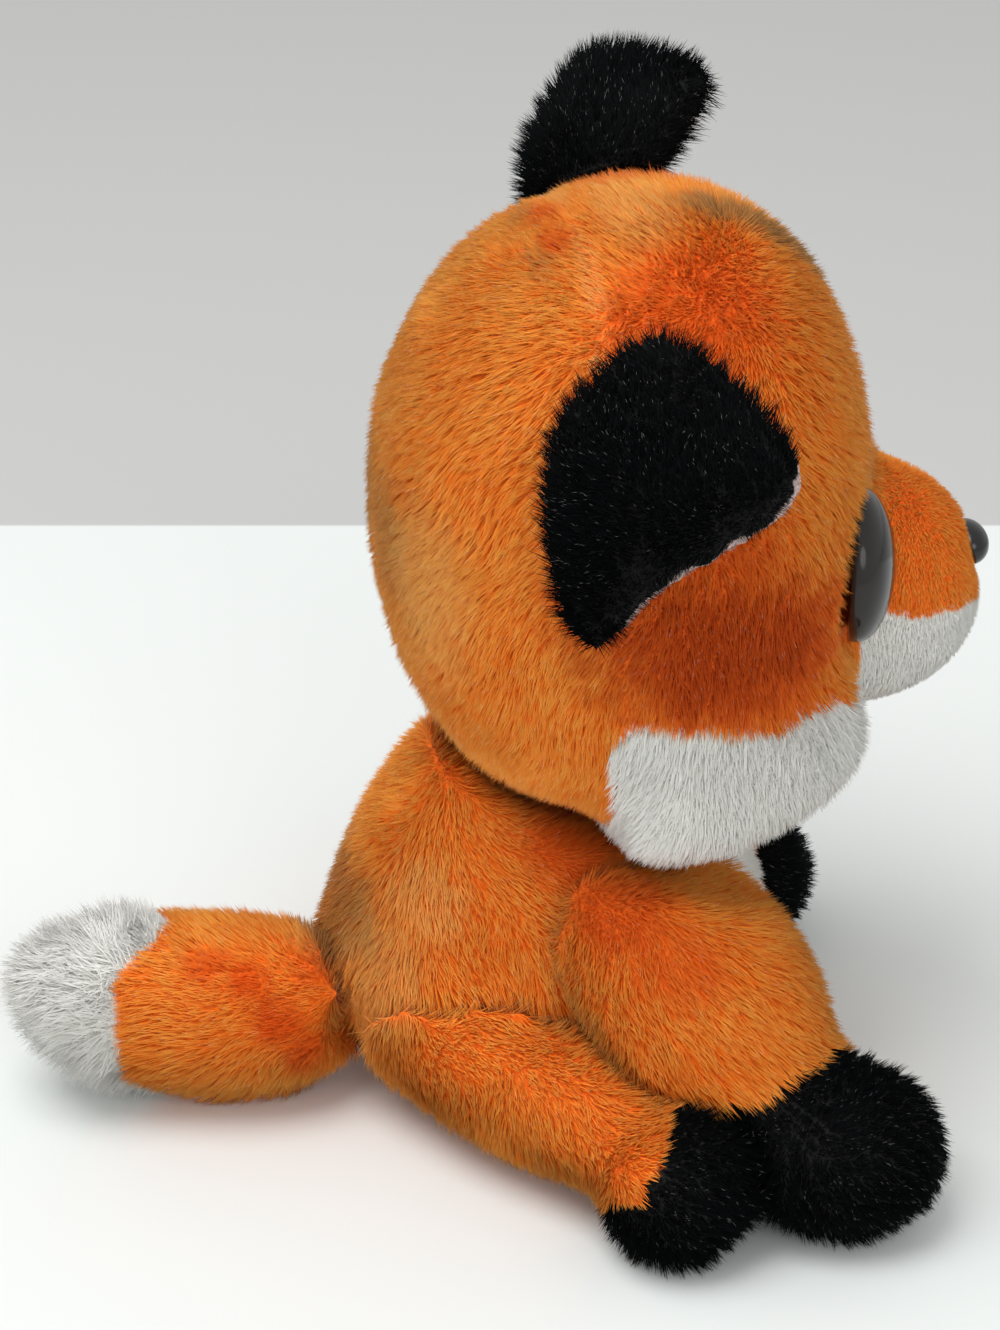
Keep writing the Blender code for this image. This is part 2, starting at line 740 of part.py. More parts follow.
def make_ears(head, head_room):
    black = plush_material("black_plush", BLACK)
    pale = plush_material("ear_lining", PALE)
    for side_name, side in SIDES.items():
        origin, up, out, normal, hinge = ear_frame(side_name, side)
        ear = joint("ear_hinge_" + side_name, origin, head)
        back = leaf("ear_back", origin, up, out, normal, 1, 0, EAR_THICKNESS)
        lining = leaf("ear_lining", origin, up, out, normal, LINING_SHARE,
                      -SEAM_GAP - LINING_THICKNESS, LINING_THICKNESS)
        for piece in (back, lining):
            carve_swept(piece, head_room, origin, hinge, EAR_SWING)
        finish(back, "ear_back_" + side_name, black, ear)
        finish(lining, "ear_lining_" + side_name, pale, ear)


def head_reach():
    """The room that head, cheeks and snout take up while the head nods and turns."""
    forms = [head_form(), snout_form(), cheek_form()]
    forms.append(mirrored(forms[-1], "other_cheek"))
    points = [vert.co.copy() for form in forms for vert in form.data.vertices]
    whole = convex_hull("head_whole", points)
    head = grown(whole, SEAM_GAP)
    nodding = swept(head, neck_pivot(), ACROSS, -HEAD_NOD, HEAD_NOD)
    reach = swept(nodding, neck_pivot(), UPWARD, -HEAD_TURN, HEAD_TURN)
    remove(whole, head, nodding, *forms)
    return reach


def make_body(body, neck, reach):
    golden = plush_material("back_plush", GOLDEN)
    white = plush_material("white_plush", WHITE)
    filling = plush_material("fibre_filling", FILLING)
    pouch_cloth = plush_material("pouch_cloth", PALE, 0.8)

    outer = body_form()
    room = grown(outer, SEAM_GAP)
    coarse = body_form(INNER_SHARE)
    inner = grown(coarse, -FABRIC)
    core = grown(coarse, -FABRIC - SEAM_GAP)
    neck_room = neck_ball("neck_room", NECK_RADIUS + NECK_PLAY)
    table = half_space("table", 2, high=0)

    skin = carve(duplicate(outer, "body_skin"), inner, neck_room, reach, table)
    bib_shape = bib_prism(0)
    bib_room = bib_prism(SEAM_GAP)
    bib = trim_to(duplicate(skin, "chest_bib"), bib_shape)
    carve(skin, bib_room)
    carve(core, neck_room, reach)
    above = half_space("above", 2, low=POUCH_HEIGHT - SEAM_GAP / 2)
    below = half_space("below", 2, high=POUCH_HEIGHT + SEAM_GAP / 2)
    pouch = carve(duplicate(core, "pellet_pouch"), above)
    stuffing = carve(core, below)
    finish(skin, "body_skin", golden, body)
    finish(bib, "chest_bib", white, body)
    finish(stuffing, "body_stuffing", filling, body)
    finish(pouch, "pellet_pouch", pouch_cloth, body)
    finish(neck_ball("neck_stuffing", NECK_RADIUS), "neck_stuffing", filling, neck)
    remove(outer, coarse, inner, neck_room, bib_shape, bib_room, above, below)
    return room, table


def bib_prism(extra):
    """A tongue-shaped cutter through the chest, wider by extra."""
    bm = bmesh.new()
    front = place(BODY_SEAT_RADIUS + OVERRUN, 0, 0).y
    rear = place(0, 0, 0).y
    near = []
    far = []
    for k in range(BODY_SEGMENTS):
        around = 2 * math.pi * k / BODY_SEGMENTS
        x = (BIB_HALF_WIDTH + extra) * math.cos(around)
        z = BIB_HEIGHT + (BIB_HALF_HEIGHT + extra) * math.sin(around)
        near.append(bm.verts.new((x, front, z)))
        far.append(bm.verts.new((x, rear, z)))
    bm.faces.new(near)
    bm.faces.new(list(reversed(far)))
    for k in range(BODY_SEGMENTS):
        following = (k + 1) % BODY_SEGMENTS
        bm.faces.new((near[k], far[k], far[following], near[following]))
    return add_object("bib_prism", bm)


def beside(point, side):
    """World point of a (forward, sideways, up) triple on one side of the fox."""
    forward, sideways, up = point
    return place(forward, side * sideways, up)


def pad(name, spot, side, half_depth, half_width, half_height, turn):
    """A paw or foot: a plump ball on the table, turned about the upright axis."""
    form = ball(name, Vector(), half_width, half_depth, half_depth, half_height, half_height,
                PAD_FULLNESS, LIMB_RINGS, LIMB_SEGMENTS)
    centre = beside((*spot, half_height - FLAT_DEPTH), side)
    turning = Matrix.Rotation(math.radians(-side * turn), 4, UPWARD)
    form.data.transform(Matrix.Translation(centre) @ turning)
    return form


def make_leg(body, body_room, table, side_name, side):
    """One leg with its foot; returns the rooms of both."""
    golden = plush_material("back_plush", GOLDEN)
    black = plush_material("black_plush", BLACK)
    pivot = beside((HIP_FORWARD, HIP_SIDE, HIP_HEIGHT), side)
    hip = joint("hip_" + side_name, pivot, body)
    leg = swell("leg", beside(LEG_HIP_END, side), beside(LEG_CUFF, side), LEG_RADII,
                LIMB_RINGS, LIMB_SEGMENTS)
    leg_room = grown(leg, SEAM_GAP)
    foot = pad("foot", FOOT_PLACE, side, FOOT_HALF_DEPTH, FOOT_HALF_WIDTH,
               FOOT_HALF_HEIGHT, FOOT_TURN)
    foot_room = grown(foot, SEAM_GAP)
    carve_swept(leg, body_room, pivot, UPWARD * side, LEG_SPLAY)
    carve(leg, table)
    carve(foot, leg_room, table)
    finish(leg, "leg_" + side_name, golden, hip)
    finish(foot, "foot_" + side_name, black, hip)
    inward = (min(LEG_SPLAY), 0)
    reaches = [swept(form, pivot, UPWARD * side, *inward) for form in (leg_room, foot_room)]
    remove(foot_room)
    return leg_room, reaches


def make_arm(body, body_room, table, reach, leg_reaches, side_name, side):
    """One arm with its paw, clear of the moving head and of the leg beside it."""
    golden = plush_material("back_plush", GOLDEN)
    black = plush_material("black_plush", BLACK)
    pivot = beside((SHOULDER_FORWARD, SHOULDER_SIDE, SHOULDER_HEIGHT), side)
    shoulder = joint("shoulder_" + side_name, pivot, body)
    arm = swell("arm", beside(ARM_TOP, side), beside(ARM_CUFFS[side_name], side), ARM_RADII,
                LIMB_RINGS, LIMB_SEGMENTS)
    arm_room = grown(arm, SEAM_GAP)
    paw = pad("paw", PAW_PLACES[side_name], side, PAW_HALF_DEPTH, PAW_HALF_WIDTH,
              PAW_HALF_HEIGHT, PAW_TURN)
    lifted = (max(ARM_SWING) / 2, max(ARM_SWING))
    for piece in (arm, paw):
        for obstacle in (body_room, *leg_reaches):
            carve_swept(piece, obstacle, pivot, -ACROSS, ARM_SWING)
        carve(piece, reach)
        carve_swept(piece, reach, pivot, -ACROSS, lifted)
    carve(arm, table)
    carve(paw, arm_room, table)
    finish(arm, "arm_" + side_name, golden, shoulder)
    finish(paw, "paw_" + side_name, black, shoulder)
    remove(arm_room)


def make_tail(body, body_room, leg_rooms, table):
    golden = plush_material("back_plush", GOLDEN)
    white = plush_material("white_plush", WHITE)
    pivot = place(*TAIL_PIVOT)
    root = joint("tail_root", pivot, body)
    tail = swell("tail", place(*TAIL_ROOT), place(*TAIL_END), TAIL_RADII, LIMB_RINGS,
                 LIMB_SEGMENTS, sag=Vector((0, 0, -TAIL_SAG)))
    for obstacle in (body_room, *leg_rooms):
        carve_swept(tail, obstacle, pivot, UPWARD, (-TAIL_WAG, TAIL_WAG))
    carve(tail, table)
    seam = place(TAIL_SEAM_FORWARD, 0, 0).y
    before_seam = half_space("before_seam", 1, high=seam + SEAM_GAP / 2)
    behind_seam = half_space("behind_seam", 1, low=seam - SEAM_GAP / 2)
    tip = carve(duplicate(tail, "tail_tip"), before_seam)
    carve(tail, behind_seam)
    finish(tail, "tail", golden, root)
    finish(tip, "tail_tip", white, root)
    remove(before_seam, behind_seam)


def main():
    clear_scene()
    body = joint("body", Vector())
    neck = joint("neck", neck_pivot(), body)
    head = joint("head", neck_pivot(), neck)
    head_room = make_head(head)
    make_ears(head, head_room)
    reach = head_reach()
    body_room, table = make_body(body, neck, reach)
    leg_rooms = []
    for side_name, side in SIDES.items():
        leg_room, reaches = make_leg(body, body_room, table, side_name, side)
        make_arm(body, body_room, table, reach, reaches, side_name, side)
        remove(*reaches)
        leg_rooms.append(leg_room)
    make_tail(body, body_room, leg_rooms, table)
    remove(head_room, body_room, reach, table, *leg_rooms)


main()
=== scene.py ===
"""Coat, ears, eyes and nose of a seated plush fox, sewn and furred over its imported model."""

import math

import bmesh
import bpy
import numpy as np
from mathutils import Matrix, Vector, noise
from mathutils.bvhtree import BVHTree


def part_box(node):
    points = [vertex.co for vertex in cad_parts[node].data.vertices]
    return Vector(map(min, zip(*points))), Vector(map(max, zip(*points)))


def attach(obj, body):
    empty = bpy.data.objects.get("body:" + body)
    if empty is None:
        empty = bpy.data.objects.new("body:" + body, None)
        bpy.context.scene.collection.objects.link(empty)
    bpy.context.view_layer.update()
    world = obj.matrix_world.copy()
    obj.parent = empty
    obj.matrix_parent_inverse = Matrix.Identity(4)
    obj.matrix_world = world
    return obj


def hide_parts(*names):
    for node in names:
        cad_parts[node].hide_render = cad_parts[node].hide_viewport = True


bl_info = {
    "name": "Plush fox",
    "version": (1, 0, 0),
    "blender": (4, 5, 0),
    "location": "View3D > Sidebar > Plush fox",
    "description": "Sews and furs the visible coat of a seated plush fox over its packed model",
    "category": "Add Mesh",
}

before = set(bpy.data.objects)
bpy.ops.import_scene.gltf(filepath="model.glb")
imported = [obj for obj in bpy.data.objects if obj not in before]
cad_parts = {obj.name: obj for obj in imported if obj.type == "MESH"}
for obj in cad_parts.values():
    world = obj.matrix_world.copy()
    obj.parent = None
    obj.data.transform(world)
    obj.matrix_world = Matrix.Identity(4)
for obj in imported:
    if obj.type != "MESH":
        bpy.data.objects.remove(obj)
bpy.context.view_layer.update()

MM = 0.001
WELD = 0.00001
SIDES = ("right", "left")
BAKE_MAP = "OFBake"


# ---------------------------------------------------------------- settings

def length(name, description, default):
    """A size that the panel shows in the scene's unit."""
    return bpy.props.FloatProperty(
        name=name, description=description, default=default, min=0.0, unit="LENGTH", precision=5)


def amount(name, description, default, high=1.0):
    """A plain share or strength."""
    return bpy.props.FloatProperty(name=name, description=description, default=default, min=0.0, max=high)


def colour(name, description, default):
    """A colour of a cloth or plastic."""
    return bpy.props.FloatVectorProperty(
        name=name, description=description, default=default, size=3, min=0.0, max=1.0, subtype="COLOR")


class FoxClothSettings(bpy.types.PropertyGroup):
    """How the skins are sewn and stuffed"""

    grain: length("Cloth grain", "Size of the faces that the skins are first sewn from", 0.0026)
    backing_depth: length("Backing depth", "How far the cloth's backing lies under the ends of its pile", 0.0020)
    swelling: length("Swelling", "The most that the filling may push a skin outwards", 0.0007)
    filling: amount("Filling", "How tightly the skins are stuffed", 0.85)
    density: bpy.props.FloatProperty(
        name="Strands", description="Strands of pile on each square millimetre of the coat", default=7.0,
        min=0.1, max=12.0)


class FoxPileSettings(bpy.types.PropertyGroup):
    """Lengths of the piles"""

    coat: length("Coat", "Length of the orange pile", 0.0036)
    patch: length("White patches", "Length of the pile of cheeks and bib", 0.0029)
    snout: length("Snout", "Length of the short pile of snout and muzzle", 0.0015)
    brush: length("Tail tip", "Length of the fluffy pile at the tail's tip", 0.0058)
    ear: length("Ears", "Length of the black pile on the backs of the ears", 0.0043)
    lining: length("Ear lining", "Length of the pale pile inside the ears", 0.0013)
    paw: length("Paws", "Length of the black pile on paws and feet", 0.0036)
    strand: length("Strand width", "Width of a strand at its root", 0.00023)


class FoxColourSettings(bpy.types.PropertyGroup):
    """Colours of cloth and plastic"""

    gold_root: colour("Golden root", "Back and body pile at its roots", (1.00, 0.185, 0.008))
    gold_tip: colour("Golden tip", "Back and body pile at its ends", (1.00, 0.415, 0.065))
    orange_root: colour("Orange root", "Face pile at its roots", (1.00, 0.165, 0.006))
    orange_tip: colour("Orange tip", "Face pile at its ends", (1.00, 0.410, 0.060))
    red_root: colour("Red root", "Deep airbrushed patches at the roots of the pile", (0.74, 0.058, 0.002))
    red_tip: colour("Red tip", "Deep airbrushed patches at the ends of the pile", (0.96, 0.140, 0.007))
    brown: colour("Brown", "Airbrushed marks along the middle of the coat", (0.34, 0.185, 0.060))
    # colours the paler pile along the head's seam and the painted highlight on the head and back
    pale: colour("Pale", "Paler pile along the seam of the head and on the back", (0.99, 0.55, 0.16))
    white_root: colour("White root", "White pile at its roots", (0.95, 0.94, 0.88))
    white_tip: colour("White tip", "White pile at its ends", (1.00, 0.99, 0.95))
    black_root: colour("Black root", "Black pile at its roots", (0.0006, 0.0006, 0.0008))
    black_tip: colour("Black tip", "Black pile at its ends", (0.0022, 0.0035, 0.0040))
    lining: colour("Lining", "Pile inside the ears", (0.62, 0.47, 0.44))
    iris: colour("Eye", "Dark plastic of the eyes", (0.012, 0.011, 0.011))
    floor: colour("Table", "White table top", (0.79, 0.82, 0.805))
    wall: colour("Backdrop", "Pale grey behind the table", (0.545, 0.545, 0.538))


class FoxStageSettings(bpy.types.PropertyGroup):
    """Camera and lamps"""

    aim: bpy.props.FloatVectorProperty(
        name="Aim", description="Point that the camera looks at", default=(0.0, -0.01795, 0.070), size=3,
        subtype="TRANSLATION", unit="LENGTH")
    distance: length("Distance", "From the camera to its aim", 0.520)
    azimuth: bpy.props.FloatProperty(
        name="Azimuth", description="Turn of the camera round the fox", default=math.radians(260.0),
        subtype="ANGLE", unit="ROTATION")
    elevation: bpy.props.FloatProperty(
        name="Elevation", description="Height of the camera over the table", default=math.radians(27.0),
        subtype="ANGLE", unit="ROTATION")
    lens: bpy.props.FloatProperty(
        name="Lens", description="Focal length in millimetres on a 36 mm sensor", default=91.9, min=1.0)
    backdrop: length("Backdrop", "From the aim to where the table ends", 0.191)
    daylight: amount("Daylight", "Strength of the light from all round", 0.70, 4.0)
    key: amount("Lamp above", "Power of the large lamp above the fox in watts", 5.0, 50.0)
    fill: amount("Lamp in front", "Power of the lamp beside the camera in watts", 2.2, 50.0)


# ---------------------------------------------------------------- cloth

# solids are grown by this before one skin is sewn over them, so that those that meet join
SEAM_LAP = 0.4 * MM
# cloth that starts lower than the first of these rests on the table at the second; no cloth is under the third
SEATED_BELOW, SEATED_AT, LOWEST_CLOTH = 1.2 * MM, 0.35 * MM, 0.3 * MM
# where another piece is as near as TOUCHED, depth and swelling are only these shares of those beyond FREE
TOUCHED, FREE = 1.0 * MM, 5.0 * MM
TOUCHED_DEPTH, TOUCHED_SWELLING = 0.25, 0.15
# the filling's pressure, the mass of the cloth's points and the steps of its simulation
PRESSURE, CLOTH_MASS, CLOTH_STEPS = 4.0, 0.02, 20
# a point counts as inside a surface when it is nearer than this and behind it by this share of its distance
INSIDE_REACH, BEHIND = 4.0 * MM, 0.3
# rounds in which the backing's depth, the borders between piles and the nap are evened out
DEPTH_ROUNDS, BORDER_ROUNDS, NAP_ROUNDS = 2, 3, 4
# where less than this share of the flow runs over the cloth, pile stands up
STEEP = 0.15
# size of the wobbles of a border between two piles, and their fixed seed
WOBBLE, WOBBLE_SEED = 4.0 * MM, 9


def cad_copy(*names):
    """CAD nodes as one mesh, with their loose triangles merged."""
    bm = bmesh.new()
    for name in names:
        bm.from_mesh(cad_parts[name].data)
    bmesh.ops.remove_doubles(bm, verts=bm.verts, dist=WELD)
    bm.normal_update()
    return bm


def surface_of(*names):
    """Search tree over the surface of CAD nodes."""
    bm = cad_copy(*names)
    tree = BVHTree.FromBMesh(bm)
    bm.free()
    return tree


def gaps_to(tree, points):
    """Distance of each point from a surface, less than zero where it is a little inside it."""
    out = np.empty(len(points))
    for i, p in enumerate(points):
        spot, normal, _, gap = tree.find_nearest(Vector(p))
        out[i] = -gap if gap < INSIDE_REACH and (Vector(p) - spot).dot(normal) < -BEHIND * gap else gap
    return out


def largest_island(bm):
    """Drops every loose shell but the largest."""
    seen, best = set(), []
    for start in bm.verts:
        if start in seen:
            continue
        island, queue = [], [start]
        seen.add(start)
        while queue:
            v = queue.pop()
            island.append(v)
            for e in v.link_edges:
                w = e.other_vert(v)
                if w not in seen:
                    seen.add(w)
                    queue.append(w)
        if len(island) > len(best):
            best = island
    keep = set(best)
    bmesh.ops.delete(bm, geom=[v for v in bm.verts if v not in keep], context="VERTS")


def new_piece(name, data):
    """An object at the origin with its mesh, light or lens."""
    obj = bpy.data.objects.new(name, data)
    bpy.context.scene.collection.objects.link(obj)
    return obj


def paint(obj, material):
    """Gives an object one finish and leaves its shape alone."""
    obj.data.materials.clear()
    obj.data.materials.append(material)


def applied(obj):
    """Turns an object's modifiers into plain mesh."""
    depsgraph = bpy.context.evaluated_depsgraph_get()
    mesh = bpy.data.meshes.new_from_object(obj.evaluated_get(depsgraph), depsgraph=depsgraph)
    old = obj.data
    obj.modifiers.clear()
    obj.data = mesh
    bpy.data.meshes.remove(old)


def read(items, field, width=1, kind=float):
    """One field of all items of a mesh as an array."""
    out = np.empty(len(items) * width, dtype=kind)
    items.foreach_get(field, out)
    return out.reshape(-1, width) if width > 1 else out


def coords(mesh):
    """Vertex places as an array."""
    return read(mesh.vertices, "co", 3)


def set_coords(mesh, places):
    """Moves all vertices of a mesh."""
    mesh.vertices.foreach_set("co", np.asarray(places).ravel())
    mesh.update()


def normals(mesh):
    """Vertex normals as an array."""
    return read(mesh.vertex_normals, "vector", 3)


def edge_ends(mesh):
    """The two vertices of each edge."""
    return read(mesh.edges, "vertices", 2, np.int32)


def relaxed(values, ends, rounds):
    """Values of the vertices, each drawn halfway to the mean of those around it in every round."""
    values = np.array(values, dtype=float)
    flat = values.ndim == 1
    if flat:
        values = values[:, None]
    count = np.zeros(len(values))
    np.add.at(count, ends.ravel(), 1)
    for _ in range(rounds):
        total = np.zeros_like(values)
        np.add.at(total, ends[:, 0], values[ends[:, 1]])
        np.add.at(total, ends[:, 1], values[ends[:, 0]])
        values += 0.5 * (total / count[:, None] - values)
    return values[:, 0] if flat else values


def swell(obj, cap):
    """Presses the skin out from inside with cloth simulation and keeps the result within a cap."""
    start = coords(obj.data)
    cloth = obj.modifiers.new("Filling", "CLOTH")
    cloth.settings.use_pressure = True
    cloth.settings.uniform_pressure_force = PRESSURE
    cloth.settings.mass = CLOTH_MASS
    cloth.settings.quality = 4
    cloth.settings.effector_weights.gravity = 0.0
    cloth.collision_settings.use_collision = False
    cloth.point_cache.frame_start = 1
    cloth.point_cache.frame_end = CLOTH_STEPS
    scene = bpy.context.scene
    for step in range(1, CLOTH_STEPS + 1):
        scene.frame_set(step)
    pressed = obj.evaluated_get(bpy.context.evaluated_depsgraph_get())
    moved = coords(pressed.to_mesh()) - start
    pressed.to_mesh_clear()
    obj.modifiers.clear()
    scene.frame_set(1)
    moved -= moved.mean(axis=0)
    size = np.maximum(np.linalg.norm(moved, axis=1), WELD)
    moved *= (cap * np.tanh(size / cap) / size)[:, None]
    set_coords(obj.data, start + moved)


def sewn(name, nodes, grain, depth, swelling, rounds=3, beside=()):
    """One closed, stuffed skin over CAD nodes, its backing under their faces but less deep beside other nodes."""
    bm = cad_copy(*nodes)
    for v in bm.verts:
        v.co += v.normal * SEAM_LAP
    mesh = bpy.data.meshes.new(name)
    bm.to_mesh(mesh)
    bm.free()
    obj = new_piece(name, mesh)
    remesh = obj.modifiers.new("Cloth", "REMESH")
    remesh.mode = "VOXEL"
    remesh.voxel_size = grain
    applied(obj)
    bm = bmesh.new()
    bm.from_mesh(obj.data)
    largest_island(bm)
    bmesh.ops.recalc_face_normals(bm, faces=bm.faces)
    bm.to_mesh(obj.data)
    bm.free()
    places = coords(obj.data)
    ends = edge_ends(obj.data)
    flat = places[:, 2] < SEATED_BELOW
    places = relaxed(places, ends, rounds)
    set_coords(obj.data, places)
    free = np.ones(len(places))
    if beside:
        free = smooth_share(np.abs(gaps_to(surface_of(*beside), places)), TOUCHED, FREE)
    share = TOUCHED_DEPTH + (1.0 - TOUCHED_DEPTH) * free
    inwards = -(depth * share + SEAM_LAP)[:, None] * normals(obj.data)
    inwards[flat, 2] = 0.0
    places = places + relaxed(inwards, ends, DEPTH_ROUNDS)
    places[flat, 2] = SEATED_AT
    set_coords(obj.data, places)
    if swelling > 0.0:
        swell(obj, swelling * (TOUCHED_SWELLING + (1.0 - TOUCHED_SWELLING) * free))
    smooth = obj.modifiers.new("Fine cloth", "SUBSURF")
    smooth.levels = smooth.render_levels = 1
    applied(obj)
    places = coords(obj.data)
    places[:, 2] = np.maximum(places[:, 2], LOWEST_CLOTH)
    set_coords(obj.data, places)
    obj.data.polygons.foreach_set("use_smooth", [True] * len(obj.data.polygons))
    return obj


def smooth_share(values, low, high):
    """0 at low, 1 at high, and a soft change between them."""
    t = np.clip((values - low) / (high - low), 0.0, 1.0)
    return t * t * (3.0 - 2.0 * t)


def store(mesh, name, values):
    """Keeps one number, vector or colour for each vertex."""
    values = np.asarray(values, dtype=float)
    kind, field = ("FLOAT", "value") if values.ndim == 1 else ("FLOAT_VECTOR", "vector")
    layer = mesh.attributes.get(name) or mesh.attributes.new(name, kind, "POINT")
    layer.data.foreach_set(field, values.ravel().astype(np.float32))


def lay_nap(mesh, flow):
    """Lets the pile lie along a direction that runs over the cloth."""
    n = normals(mesh)
    flow = np.asarray(flow, dtype=float)
    along = flow - n * (flow * n).sum(axis=1)[:, None]
    size = np.linalg.norm(along, axis=1)
    along /= np.maximum(size, STEEP)[:, None]
    store(mesh, "nap", relaxed(along, edge_ends(mesh), NAP_ROUNDS))


def part_zones(obj, zones, spreads, depth, ragged):
    """How far each vertex lies inside each zone of CAD nodes rather than the nearest other one.

    A zone with a spread reaches that much farther than its nodes. Borders are as ragged as given.
    """
    outer = coords(obj.data) + normals(obj.data) * depth
    noise.seed_set(WOBBLE_SEED)
    outer += ragged * np.array([noise.noise_vector(Vector(p / WOBBLE)) for p in outer])
    reach = {zone: np.abs(gaps_to(surface_of(*nodes), outer)) for zone, nodes in zones.items()}
    for zone, spread in spreads.items():
        reach[zone] = reach[zone] - spread(outer)
    ends = edge_ends(obj.data)
    out = {}
    for zone in zones:
        others = [reach[z] for z in zones if z != zone]
        lead = np.min(others, axis=0) - reach[zone] if others else np.full(len(outer), MM)
        out[zone] = relaxed(lead, ends, BORDER_ROUNDS)
    return out


# ---------------------------------------------------------------- pile

class Wiring:
    """Short calls for building a node tree."""

    def __init__(self, tree):
        self.tree = tree

    def add(self, kind, feeds=None, **settings):
        """A node with its settings, and values or links for inputs by name or number."""
        node = self.tree.nodes.new(kind)
        for key, value in settings.items():
            setattr(node, key, value)
        for key, value in (feeds or {}).items():
            self.feed(node.inputs[key], value)
        return node

    def feed(self, socket, value):
        if isinstance(value, bpy.types.NodeSocket):
            self.tree.links.new(value, socket)
        elif value is not None:
            socket.default_value = value

    def maths(self, operation, a, b=None):
        return self.add("ShaderNodeMath", {0: a, 1: b}, operation=operation).outputs[0]

    def vector(self, operation, a, b=None, scale=None):
        node = self.add("ShaderNodeVectorMath", {0: a, 1: b, 3: scale}, operation=operation)
        return node.outputs["Value" if operation in ("DOT_PRODUCT", "LENGTH") else "Vector"]

    def blend(self, factor, a, b):
        return self.add("ShaderNodeMix", {0: factor, 6: a, 7: b}, data_type="RGBA").outputs[2]

    def ramp(self, value, low, high, out_low=0.0, out_high=1.0, kind="SMOOTHSTEP"):
        feeds = dict(enumerate((value, low, high, out_low, out_high)))
        return self.add("ShaderNodeMapRange", feeds, interpolation_type=kind).outputs[0]

    def parts(self, vector):
        return self.add("ShaderNodeSeparateXYZ", {0: vector}).outputs

    def joined(self, x, y, z):
        return self.add("ShaderNodeCombineXYZ", {0: x, 1: y, 2: z}).outputs[0]

    def noise(self, place, scale, detail=2.0, output=0):
        return self.add("ShaderNodeTexNoise", {"Vector": place, "Scale": scale, "Detail": detail}).outputs[output]

    def group(self, tree, feeds):
        node = self.add("ShaderNodeGroup", node_tree=tree)
        for name, value in feeds.items():
            self.feed(node.inputs[name], value)
        return node.outputs[0]

    def kept(self, name, kind="FLOAT"):
        return self.add("GeometryNodeInputNamedAttribute", {"Name": name}, data_type=kind).outputs[0]


# what one pile is like, in metres, strands for each square metre and shares; coats change some of them
PILE_SIZES = {
    "Strands per area": 4.0e6, "Strand length": 3.4 * MM, "Strand width": 0.4 * MM, "Rise": 0.72, "Lie": 0.75,
    "Clump size": 1.9 * MM, "Clump pull": 0.35, "Waviness": 0.45, "Wave size": 14.0 * MM, "Unevenness": 0.35,
    "Scatter": 0.20, "Table": 0.3 * MM,
}
# triangles of a strand: three sides and its root; and how far its corners are from its middle, of its width
STRAND_FACES, TO_CORNER = 4, 0.577
# how far waves push a strand over, how little it may climb over the table, and its turn against the cloth
WAVE_PUSH, LEAST_CLIMB, TURNED_BACK = 4.0, 0.2, 0.6
LOWEST_PILE = 0.15 * MM


